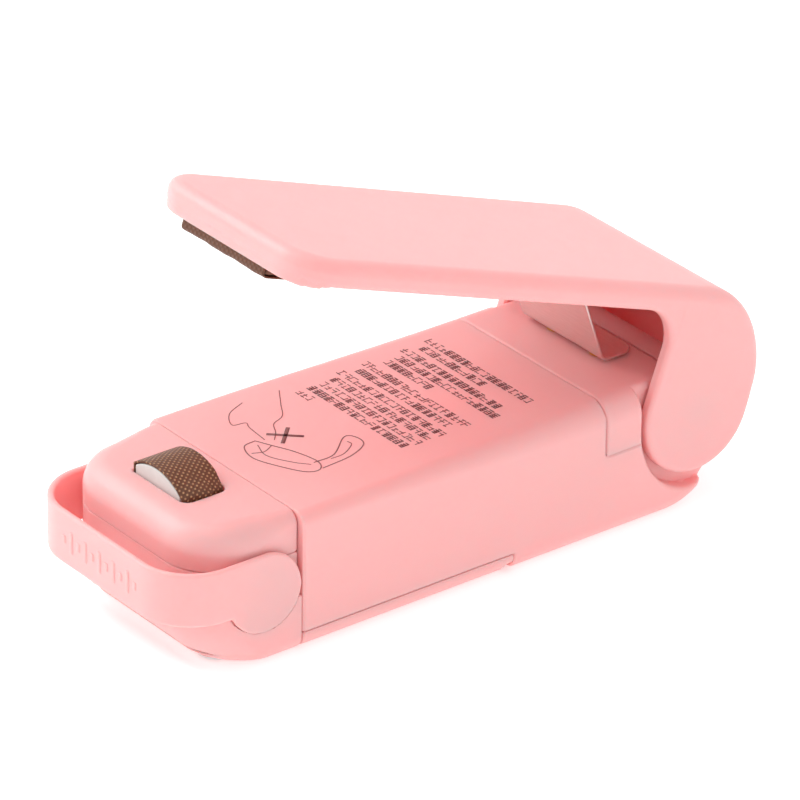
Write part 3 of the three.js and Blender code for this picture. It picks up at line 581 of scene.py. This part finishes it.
def lever_field(x, y, z):
    """The lever with its lip, the pad's seat, the leaf's boss and the ribs inside."""
    seat = block(x, y, z, -PAD_HALF - 0.6, PAD_HALF + 0.6, LEVER_TIP + 0.4, PAD_BACK + 0.6,
                 LEVER_UNDER, LEVER_TOP - 1)
    boss = block(x, y, z, -LEAF_HALF - 0.1, LEAF_HALF + 0.1, LEAF_TAB_START - 1, LEAF_TAB_END + 1.4,
                 LEVER_UNDER + 0.3, LEVER_TOP - 1)
    lever = union(union(union(lever_shell(x, y, z), lever_lip(x, y, z)), seat), boss)
    rib_half = HALF_WIDTH - WALL + 0.4
    for rib_y in LEVER_RIBS:
        rib = block(x, y, z, -rib_half, rib_half, rib_y, rib_y + 1.2, LEVER_UNDER + 1, LEVER_TOP - 1)
        lever = union(lever, rib)
    pin = np.hypot(y - HINGE_Y, z - HINGE_Z) - PIN_HOLE
    return cut(lever, np.maximum(pin, np.abs(x) - HALF_WIDTH + 1), 0.2)


def build_shells():
    """The moulded shells, each standing in for its CAD node."""
    fine, coarse = 0.26, 0.42
    shells = {
        "main_case": (case_field, CASE_LOW, CASE_HIGH, coarse, "root"),
        "rear_cover": (cover_field, COVER_LOW, COVER_HIGH, fine, "root"),
        "battery_door": (door_field, DOOR_LOW, DOOR_HIGH, 0.36, "door"),
        "nose_base": (nose_base_field, NOSE_LOW, NOSE_HIGH, 0.22, "root"),
        "nose_cap": (cap_field, CAP_LOW, CAP_HIGH, fine, "root"),
        "safety_guard": (guard_field, GUARD_LOW, GUARD_HIGH, 0.2, "guard"),
    }
    pieces = {}
    for node, (field, low, high, cell, body) in shells.items():
        pieces[node] = moulding(node + "_shell", field, low, high, cell, body)
    lever_low = (-HALF_WIDTH, LEVER_TIP - 1.2, HINGE_Z - LOBE)
    lever_high = (HALF_WIDTH, HINGE_Y + LOBE, LEVER_TOP)
    pieces["lever"] = moulding("lever_shell", lever_field, lever_low, lever_high, coarse, "lever",
                               opened)
    for node, piece in pieces.items():
        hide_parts(node)
    return pieces


# ---- The heater, the pad and the leaf spring ----


def block_field(x, y, z):
    """The heater block: a round-topped bar with straight sides."""
    dome = np.hypot(x - DOME_X, z - DOME_CENTRE) - DOME_RADIUS
    bar = np.maximum(dome, np.abs(x - HEATER_X) - HEATER_HALF)
    bar = common(bar, between(y, HEATER_FRONT, HEATER_BACK), 0.2)
    bar = common(bar, BLOCK_LOW.z - z)
    foot = block(x, y, z, -HEATER_HALF, HEATER_HALF, HEATER_FRONT - 1, HEATER_BACK + 1, BLOCK_LOW.z,
                 ROOF - GAP)
    return union(bar, foot)


def band_mesh(name, rows, thickness, body):
    """A closed sheet. rows holds lines of points across it; each line is a row of the sheet's face."""
    face = np.array(rows, float)
    along = np.gradient(face, axis=0)
    across = np.gradient(face, axis=1)
    normal = np.cross(along, across)
    normal /= np.linalg.norm(normal, axis=2)[:, :, None]
    count, width = face.shape[:2]
    points = np.concatenate([face.reshape(-1, 3), (face - normal * thickness).reshape(-1, 3)])
    index = np.arange(count * width).reshape(count, width)
    under = index + count * width
    top = np.stack([index[:-1, :-1], index[1:, :-1], index[1:, 1:], index[:-1, 1:]], -1)
    bottom = np.stack([under[:-1, :-1], under[:-1, 1:], under[1:, 1:], under[1:, :-1]], -1)
    quads = [top.reshape(-1, 4), bottom.reshape(-1, 4)]
    rim = np.concatenate([index[0], index[1:, -1], index[-1, -2::-1], index[-2:0:-1, 0]])
    rim_under = rim + count * width
    quads.append(np.stack([rim, np.roll(rim, -1), np.roll(rim_under, -1), rim_under], 1))
    piece = mesh_object(name, world(points), np.concatenate(quads), body)
    add_weave_map(piece, face)
    return piece


def add_weave_map(piece, face):
    """A map measured in millimetres of cloth: along its length, and across it."""
    steps_along = np.linalg.norm(np.diff(face, axis=0), axis=2)
    steps_across = np.linalg.norm(np.diff(face, axis=1), axis=2)
    u = np.vstack([np.zeros(face.shape[1]), np.cumsum(steps_along, 0)])
    v = np.hstack([np.zeros((face.shape[0], 1)), np.cumsum(steps_across, 1)])
    flat = np.stack([u.reshape(-1), v.reshape(-1)], 1)
    flat = np.concatenate([flat, flat])
    layer = piece.data.uv_layers.new(name="weave")
    loops = np.empty(len(piece.data.loops), int)
    piece.data.loops.foreach_get("vertex_index", loops)
    layer.data.foreach_set("uv", flat[loops].astype(np.float32).reshape(-1))


def dome_path(lift):
    """A line over the dome and down both of its sides, lift millimetres above it, as X and Z."""
    radius = DOME_RADIUS + lift
    half = HEATER_HALF + lift
    left = math.asin((-half - DOME_LEAN) / radius)
    right = math.asin((half - DOME_LEAN) / radius)
    foot = ROOF - 1
    over = [
        (DOME_X + radius * math.sin(a), DOME_CENTRE + radius * math.cos(a))
        for a in np.linspace(left, right, 44)
    ]
    rise = [(HEATER_X - half, z) for z in np.linspace(foot, over[0][1], 10)[:-1]]
    fall = [(HEATER_X + half, z) for z in np.linspace(over[-1][1], foot, 13)[1:]]
    return rise + over + fall


def heater_strip():
    """The flat wire that heats up, under the cloth."""
    across = (STRIP_Y - STRIP_HALF, STRIP_Y, STRIP_Y + STRIP_HALF)
    rows = [[(x, y, z) for y in across] for x, z in dome_path(0.1)]
    return band_mesh("heater_strip_band", rows, 0.06, "root")


def heater_cloth():
    """Woven cloth over the dome, tucked into the pocket on both sides.

    On its +X side it is slack: it bulges outward between its front and rear edges, most of all
    at the crest, and its edges are tucked down.
    """
    crest = 0.7  # how far from the front edge to the rear one
    rows = []
    for x, z in dome_path(0.14 + CLOTH_THICK):
        side = ease(x - HEATER_X, HEATER_HALF - 1.6, HEATER_HALF + 0.2)
        row = []
        for t in np.linspace(0, 1, 31):
            y = HEATER_FRONT + 0.05 + t * (HEATER_BACK - HEATER_FRONT - 0.1)
            ripple = 0.05 * math.sin(9 * t + 0.8 * x) * (0.3 + side)
            fold = min(t / crest, (1 - t) / (1 - crest))
            bulge = side * (0.85 if t < crest else 0.5) * math.sin(math.pi / 2 * fold) ** 0.7
            tuck = 0.5 * side * (1 - math.sin(math.pi * t)) ** 2
            sag = 0.1 * side * math.sin(2 * math.pi * t) - tuck
            row.append((x + bulge + ripple * side, y, z + 0.35 * ripple + sag))
        rows.append(row)
    return band_mesh("heater_cloth_sheet", rows, CLOTH_THICK, "root")


def pad_field(x, y, z):
    """The silicone pad, just inside its cloth."""
    inset = PAD_CLOTH_THICK + 0.02
    return block(x - HEATER_X, y, z, -PAD_EDGE, PAD_EDGE, PAD_FRONT + inset, PAD_REAR - inset,
                 PAD_VISIBLE_LOW + inset, LEVER_UNDER - 0.1, 0.3)


def arc(centre, radius, start, steps):
    """Points along a quarter turn that begins at the angle start."""
    angles = [start + i / steps * math.pi / 2 for i in range(steps + 1)]
    return [(centre[0] + radius * math.cos(a), centre[1] + radius * math.sin(a)) for a in angles]


def pad_cloth():
    """The cloth that wraps the pad's face and turns up at its front and back, slightly wavy."""
    bend = 0.5
    front, rear, low, high = PAD_FRONT, PAD_REAR, PAD_VISIBLE_LOW, LEVER_UNDER - 0.15
    path = [(front, z) for z in np.linspace(high, low + bend, 7)[:-1]]
    path += arc((front + bend, low + bend), bend, math.pi, 6)
    path += [(y, low) for y in np.linspace(front + bend, rear - bend, 15)[1:-1]]
    path += arc((rear - bend, low + bend), bend, 1.5 * math.pi, 6)
    path += [(rear, z) for z in np.linspace(low + bend, high, 7)[1:]]
    rows = []
    for y, z in path:
        row = []
        for x in np.linspace(HEATER_X + PAD_EDGE, HEATER_X - PAD_EDGE, 61):
            wave = 0.035 * math.sin(0.9 * x) + 0.015 * math.sin(2.1 * x + 0.9 * y)
            row.append((x, y + wave * 0.7, z + wave))
        rows.append(row)
    return band_mesh("pad_cloth_sheet", [opened(row) for row in rows], PAD_CLOTH_THICK, "lever")


def leaf_path():
    """The spring's upper face: the tab under the lever, the leg, and the foot on the deck.

    Gives its points, how far along it each one lies, and its length.
    """
    tab_z = LEVER_UNDER + 0.2
    bend_reach = 0.75
    tab = opened([(0, LEAF_TAB_START, tab_z), (0, LEAF_TAB_END, tab_z)])
    corners = [tuple(tab[0][1:]), tuple(tab[1][1:]), LEAF_BEND, (LEAF_FOOT_END, LEAF_BEND[1])]
    points = [corners[0]]
    for before, corner, after in zip(corners, corners[1:], corners[2:]):
        before, corner, after = map(np.array, (before, corner, after))
        arm_in = (before - corner) / np.linalg.norm(before - corner)
        arm_out = (after - corner) / np.linalg.norm(after - corner)
        for t in np.linspace(0, 1, 9):
            a = corner + arm_in * bend_reach * (1 - t)
            b = corner + arm_out * bend_reach * t
            points.append(tuple(a * (1 - t) + b * t))
    points.append(corners[-1])
    return resampled(points, 0.35)


def resampled(points, step):
    """The same line with its points about one step apart."""
    points = np.array(points, float)
    lengths = np.concatenate([[0], np.cumsum(np.linalg.norm(np.diff(points, axis=0), axis=1))])
    at = np.linspace(0, lengths[-1], int(lengths[-1] / step) + 1)
    return np.stack([np.interp(at, lengths, points[:, k]) for k in range(2)], 1), at, lengths[-1]


def leaf_spring():
    """The bent steel strip, with rounded corners at its foot."""
    path, along, total = leaf_path()
    corner = 2.2
    rows = []
    for (y, z), s in zip(path, along):
        left = max(corner - (total - s), 0)
        half = LEAF_HALF - corner + math.sqrt(max(corner ** 2 - left ** 2, 0))
        rows.append([(LEAF_X + x, y, z) for x in np.linspace(half, -half, 25)])
    piece = band_mesh("leaf_spring_strip", rows, LEAF_THICK, None)
    bevel(piece, 0.08, 2)
    tab_end = opened([(0, LEAF_TAB_END, LEVER_UNDER)])[0]
    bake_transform(piece)
    return piece


def bevel(piece, width, segments):
    """Rounds the sharp edges of a piece, by a width in millimetres."""
    modifier = piece.modifiers.new("rounding", "BEVEL")
    modifier.width = width * MM
    modifier.segments = segments
    modifier.limit_method = "ANGLE"
    modifier.angle_limit = math.radians(40)


# ---- Printed marks on the deck ----

INK_RISE = 0.02


def stroke(points, width):
    """Flat quads along a line on the deck."""
    quads = []
    line = np.array(points, float)
    for a, b in zip(line[:-1], line[1:]):
        ahead = (b - a) / max(np.linalg.norm(b - a), 1e-6)
        side = np.array([-ahead[1], ahead[0]]) * width / 2
        quads.append([a + side, a - side, b - side, b + side])
    return quads


def curve_through(points, steps=8):
    """A smooth line through points."""
    points = np.array(points, float)
    padded = np.vstack([2 * points[0] - points[1], points, 2 * points[-1] - points[-2]])
    line = []
    for i in range(len(points) - 1):
        p0, p1, p2, p3 = padded[i:i + 4]
        for t in np.linspace(0, 1, steps, endpoint=False):
            line.append(0.5 * (2 * p1 + (p2 - p0) * t + (2 * p0 - 5 * p1 + 4 * p2 - p3) * t ** 2
                               + (3 * p1 - p0 - 3 * p2 + p3) * t ** 3))
    line.append(points[-1])
    return line


PARAGRAPHS = (  # the Y of the first row, and where each row ends
    (42.7, (10.0, 2.1)),
    (38.4, (8.3, 9.9, -1.4)),
    (31.9, (10.1, 8.7)),
    (27.7, (9.7, 9.7, 9.8, 9.7, -7.6)),
)


def mark_rows(rng):
    """Rows of small meaningless strokes, where the real object has its cautions."""
    pitch, tall, gap = 1.94, 1.35, 0.2
    margin, outdent = -10.7, -12
    quads = []
    for first, ends in PARAGRAPHS:
        for row, end in enumerate(ends):
            y = first + tall / 2 - pitch * row
            x = margin if row else outdent
            while x < end:
                wide = rng.uniform(0.8, 1.1)
                quads += glyph(rng, x, y, wide, tall, rng.random() < 0.4)
                x += wide + gap
    return quads


def glyph(rng, x, y, wide, tall, dense):
    """A few crossing strokes in a small cell, which spell nothing."""
    pen = 0.2 if dense else 0.15
    quads = []
    heights = (0.08, 0.36, 0.64, 0.92) if dense else rng.choice([0.1, 0.5, 0.9], 2, replace=False)
    for height in heights:
        inset = rng.uniform(0, 0.3) * wide
        quads += stroke([(x + inset, y - height * tall), (x + wide, y - height * tall)], pen)
    for across in rng.choice([0.12, 0.5, 0.88], size=2 if dense else 1, replace=False):
        top = rng.uniform(0, 0.4) * tall
        quads += stroke([(x + across * wide, y - top), (x + across * wide, y - tall)], pen)
    return quads


def pictogram():
    """A plain line drawing of a clamp beside a cross."""
    pen, fine_pen, cross_pen = 0.16, 0.128, 0.55
    outlines = (
        [(-2.9, 7.0), (-2.4, 4.9), (0.8, 4.0), (5.0, 5.6), (7.9, 7.4), (8.3, 9.2), (6.4, 10.2),
         (2.6, 9.4), (-0.6, 8.0), (-2.9, 7.0)],
        [(6.4, 9.6), (6.2, 13.0), (3.2, 16.9), (4.0, 18.2), (6.2, 17.9), (7.8, 14.6), (8.3, 9.6)],
    )
    details = (
        [(-1.8, 6.6), (1.2, 5.8), (4.6, 7.4), (6.6, 9.0)],
        [(4.4, 16.6), (5.4, 16.5), (6.8, 14.2), (6.9, 12.0)],
        [(-0.6, 8.0), (0.2, 6.2), (-0.4, 4.6)],
        [(-12.4, 12.0), (-10.9, 8.8), (-8.2, 7.2), (-7.6, 9.0), (-6.2, 8.6), (-2.4, 8.2)],
        [(-12.3, 18.0), (-9.0, 15.8), (-6.3, 14.0), (-5.2, 11.8), (-3.2, 10.6), (-1.6, 9.2)],
    )
    cross = ([(-3.5, 9.3), (-0.1, 12.9)], [(-3.3, 12.7), (-0.2, 9.5)])
    quads = []
    for line in outlines:
        quads += stroke(curve_through(line), pen)
    for line in details:
        quads += stroke(curve_through(line), fine_pen)
    for line in cross:
        quads += stroke(line, cross_pen)
    return quads


def deck_print():
    """All the marks as one thin layer of ink, each stroke a closed slab."""
    rng = np.random.default_rng(11)
    quads = np.array(mark_rows(rng) + pictogram())
    flat = quads.reshape(-1, 2)
    rise = np.full(len(flat), DECK + INK_RISE)
    count = len(flat)
    points = np.column_stack([flat, rise])
    base = points - [0, 0, 2 * INK_RISE]
    ring = np.arange(count).reshape(-1, 4)
    faces = [ring, ring[:, ::-1] + count]
    for k in range(4):
        a, b = ring[:, k], ring[:, (k + 1) % 4]
        faces.append(np.stack([b, a, a + count, b + count], 1))
    return mesh_object("deck_print", world(np.concatenate([points, base])), np.concatenate(faces),
                       "root")


# ---- Materials ----


def apply(tree, shader, inputs):
    """Sets a shader node's inputs to constants, or links them to other nodes' outputs."""
    for name, value in inputs.items():
        if isinstance(value, bpy.types.NodeSocket):
            tree.links.new(value, shader.inputs[name])
        else:
            shader.inputs[name].default_value = value


def node(tree, kind, inputs=None, **settings):
    """Adds a shader node; an input's value is a constant or another node's output."""
    made = tree.nodes.new(kind)
    for name, value in settings.items():
        setattr(made, name, value)
    apply(tree, made, inputs or {})
    return made


def new_material(name):
    """A new material, its node tree and its main shader."""
    material = bpy.data.materials.new(name)
    material.use_nodes = True
    return material, material.node_tree, material.node_tree.nodes["Principled BSDF"]


def blend_colours(tree, factor, first, second):
    """A mix of two colours, by a node's output."""
    mix = node(tree, "ShaderNodeMix", data_type="RGBA")
    tree.links.new(factor, mix.inputs[0])
    mix.inputs[6].default_value = (*first, 1)
    mix.inputs[7].default_value = (*second, 1)
    return mix.outputs[2]


def speckle(tree, scale, detail=3.0, stretch=(1, 1, 1)):
    """Noise over the piece, with a scale in waves per metre."""
    place = node(tree, "ShaderNodeTexCoord").outputs["Object"]
    mapped = node(tree, "ShaderNodeMapping", {"Vector": place, "Scale": stretch})
    return node(tree, "ShaderNodeTexNoise", {
        "Vector": mapped.outputs["Vector"], "Scale": scale, "Detail": detail, "Roughness": 0.6,
    }).outputs["Fac"]


def bump(tree, height, strength, depth):
    """A normal from a height, with its depth in millimetres."""
    return node(tree, "ShaderNodeBump", {
        "Height": height, "Strength": strength, "Distance": depth * MM,
    }).outputs["Normal"]


def plastic():
    """Satin pink plastic that lets a little light through."""
    material, tree, shader = new_material("pink_plastic")
    tone = speckle(tree, 60)
    grain = speckle(tree, 2600, 2.0)
    polish = node(tree, "ShaderNodeMapRange", {
        "Value": speckle(tree, 300), "To Min": 0.36, "To Max": 0.46,
    })
    apply(tree, shader, {
        "Base Color": blend_colours(tree, tone, (0.98, 0.47, 0.465), (0.97, 0.445, 0.44)),
        "Roughness": polish.outputs["Result"],
        "Normal": bump(tree, grain, 0.12, 0.03),
        "Subsurface Weight": 0.6,
        "Subsurface Radius": (1.0, 0.22, 0.18),
        "Subsurface Scale": 3.2 * MM,
        "Specular IOR Level": 0.45,
    })
    return material


def woven_cloth(name, thread):
    """Brown non-stick cloth: glass threads of one colour that cross over and under each other."""
    material, tree, shader = new_material(name)
    place = node(tree, "ShaderNodeUVMap", uv_map="weave").outputs["UV"]
    turned = node(tree, "ShaderNodeMapping", {
        "Vector": place, "Rotation": (0, 0, math.radians(8)),
    }).outputs["Vector"]
    split = node(tree, "ShaderNodeSeparateXYZ", {"Vector": turned})
    pitch = 0.84  # in millimetres, for one thread over and one under
    waves = []
    for axis in ("X", "Y"):
        phase = node(tree, "ShaderNodeMath", {0: split.outputs[axis], 1: 2 * math.pi / pitch},
                     operation="MULTIPLY")
        wave = node(tree, "ShaderNodeMath", {0: phase.outputs[0]}, operation="SINE")
        waves.append(wave.outputs[0])
    crossing = node(tree, "ShaderNodeMath", {0: waves[0], 1: waves[1]}, operation="MULTIPLY")
    height = node(tree, "ShaderNodeMapRange", {
        "Value": crossing.outputs[0], "From Min": -1.0, "From Max": 1.0,
    }).outputs["Result"]
    dots = node(tree, "ShaderNodeMapRange", {
        "Value": height, "From Min": 0.62, "From Max": 0.98,
    }).outputs["Result"]
    worn = node(tree, "ShaderNodeMath", {0: dots, 1: speckle(tree, 900)}, operation="MULTIPLY")
    coating = (0.125, 0.046, 0.022)
    apply(tree, shader, {
        "Base Color": blend_colours(tree, worn.outputs[0], coating, thread),
        "Roughness": 0.5,
        "Normal": bump(tree, height, 0.7, 0.1),
        "Specular IOR Level": 0.35,
    })
    return material


def mottled(name, first, second, scale, rough, metallic=0.0, depth=0.02, stretch=(1, 1, 1), **more):
    """A solid material with a grain in its colour, polish and surface."""
    material, tree, shader = new_material(name)
    grain = speckle(tree, scale, 4.0, stretch)
    polish = node(tree, "ShaderNodeMapRange", {
        "Value": grain, "To Min": rough * 0.8, "To Max": min(rough * 1.25, 1.0),
    })
    apply(tree, shader, {
        "Base Color": blend_colours(tree, grain, first, second),
        "Roughness": polish.outputs["Result"],
        "Metallic": metallic,
        "Normal": bump(tree, grain, 0.3, depth),
        **more,
    })
    return material


def build_materials():
    """Every material by its name, which is its slot's too but for the plain cloth and the ink."""
    return {
        "pink_plastic": plastic(),
        "heater_cloth": woven_cloth("heater_cloth", (0.8, 0.47, 0.24)),
        "plain_cloth": woven_cloth("plain_cloth", (0.24, 0.1, 0.055)),
        "silicone": mottled("silicone", (0.19, 0.085, 0.05), (0.12, 0.05, 0.03), 900, 0.75),
        "ceramic": mottled("ceramic", (0.7, 0.68, 0.65), (0.58, 0.56, 0.54), 700, 0.65, depth=0.03),
        "steel": mottled("steel", (0.86, 0.8, 0.77), (0.74, 0.68, 0.65), 500, 0.34, 1.0, 0.01,
                         (1, 8, 8)),
        "screw_steel": mottled("screw_steel", (0.66, 0.66, 0.68), (0.5, 0.5, 0.52), 900, 0.25, 1.0),
        "brass": mottled("brass", (0.78, 0.55, 0.2), (0.6, 0.38, 0.12), 900, 0.3, 1.0),
        "cell_jacket": mottled("cell_jacket", (0.03, 0.13, 0.36), (0.05, 0.19, 0.46), 400, 0.35),
        "red_insulation": mottled("red_insulation", (0.5, 0.02, 0.012), (0.38, 0.015, 0.01), 800, 0.5),
        "black_insulation": mottled("black_insulation", (0.02, 0.02, 0.02), (0.035, 0.035, 0.035), 800,
                                    0.5),
        "ink": mottled("ink", (0.2, 0.065, 0.062), (0.28, 0.1, 0.095), 1800, 0.6),
    }


def dress(pieces, looks):
    """Gives every piece its material: its own slot's, or the one its CAD node names."""
    for piece, look in pieces.items():
        paint(piece, looks[look])
    slots = {part["node"]: part["material_slot"] for part in frame["record"]["subparts"]}
    for name, slot in slots.items():
        part = visible_node(name)
        if part:
            paint(part, looks[slot])
            bevel(part, 0.06, 1)


def paint(piece, material):
    piece.data.materials.clear()
    piece.data.materials.append(material)


def visible_node(name):
    """The CAD node, or nothing if a piece stands for it."""
    part = bpy.data.objects.get(name)
    return part if part and not part.hide_render else None


# ---- Studio ----


def studio():
    """A bright white room with a large light on the -X side, over the nose."""
    scene = bpy.context.scene
    scene.view_settings.view_transform = "Standard"
    sky = bpy.data.worlds.new("studio")
    sky.use_nodes = True
    background = sky.node_tree.nodes["Background"]
    background.inputs["Color"].default_value = (1, 1, 1, 1)
    background.inputs["Strength"].default_value = 0.8
    scene.world = sky
    soft_light("key", (-0.62, -0.36, 0.6), 0.7, 4.8)
    soft_light("top", (-0.1, 0.1, 0.9), 0.6, 0.9)
    soft_light("fill", (0.8, 0.1, 0.5), 0.6, 0.35)


def soft_light(name, place, size, power):
    """A round light that faces the sealer."""
    data = bpy.data.lights.new(name, "AREA")
    data.shape = "DISK"
    data.size = size
    data.energy = power
    light = bpy.data.objects.new(name, data)
    bpy.context.scene.collection.objects.link(light)
    aim = Vector((0, 0, 0.02)) - Vector(place)
    light.matrix_world = Matrix.Translation(place) @ aim.to_track_quat("-Z", "Y").to_matrix().to_4x4()


def floor():
    """A white floor that glows a little, so that only a faint shadow shows on it."""
    half = 3.0
    clearance = 0.02 * MM
    corners = [(-half, -half, 0), (half, -half, 0), (half, half, 0), (-half, half, 0)]
    mesh = bpy.data.meshes.new("floor")
    mesh.from_pydata(corners, [], [(0, 1, 2, 3)])
    plane = bpy.data.objects.new("floor", mesh)
    bpy.context.scene.collection.objects.link(plane)
    plane.location.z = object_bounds()[0].z - clearance
    glow = {"Emission Color": (1, 0.985, 0.98, 1), "Emission Strength": 0.4}
    paint(plane, mottled("floor", (0.93, 0.93, 0.93), (0.9, 0.9, 0.9), 12, 0.9, depth=0.001, **glow))
    plane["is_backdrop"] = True


def place_camera():
    """A long lens that looks down on the sealer past its nose, from the +X side."""
    azimuth = math.radians(51.84)
    elevation = math.radians(27.93)
    roll = math.radians(0.767)
    distance = 0.86
    target = Vector((0, SEAM_Y + 28.69 * MM, 20.425 * MM))
    level = math.cos(elevation)
    outward = Vector((math.sin(azimuth) * level, -math.cos(azimuth) * level, math.sin(elevation)))
    data = bpy.data.cameras.new("camera")
    data.lens = 293.4
    data.sensor_width = 36
    data.clip_end = 10
    camera = bpy.data.objects.new("camera", data)
    bpy.context.scene.collection.objects.link(camera)
    turn = outward.to_track_quat("Z", "Y").to_matrix().to_4x4()
    roll_turn = Matrix.Rotation(roll, 4, "Z")
    camera.matrix_world = Matrix.Translation(target + outward * distance) @ turn @ roll_turn
    bpy.context.scene.camera = camera


def build():
    """Makes every piece and gives it its look."""
    pieces = {piece: "pink_plastic" for piece in build_shells().values()}
    aside = Vector((HEATER_X, 0, 0))
    heater = moulding("heater_block_bar", block_field, BLOCK_LOW + aside, BLOCK_HIGH, 0.2, "root")
    pad_low = (HEATER_X - PAD_EDGE, PAD_FRONT, PAD_LOW)
    pad_high = (PAD_EDGE, PAD_BACK, LEVER_UNDER)
    pad = moulding("pressure_pad_block", pad_field, pad_low, pad_high, 0.3, "lever", opened)
    wrap = pad_cloth()
    leaf = leaf_spring()
    stand_ins = {
        "heater_block": (heater, "ceramic"),
        "heater_strip": (heater_strip(), "steel"),
        "heater_cloth": (heater_cloth(), "heater_cloth"),
        "pressure_pad": (pad, "silicone"),
        "pad_cloth": (wrap, "plain_cloth"),
        "leaf_spring": (leaf, "steel"),
    }
    for name, (piece, look) in stand_ins.items():
        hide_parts(name)
        pieces[piece] = look
    pieces[deck_print()] = "ink"
    dress(pieces, build_materials())


build()
studio()
floor()
place_camera()
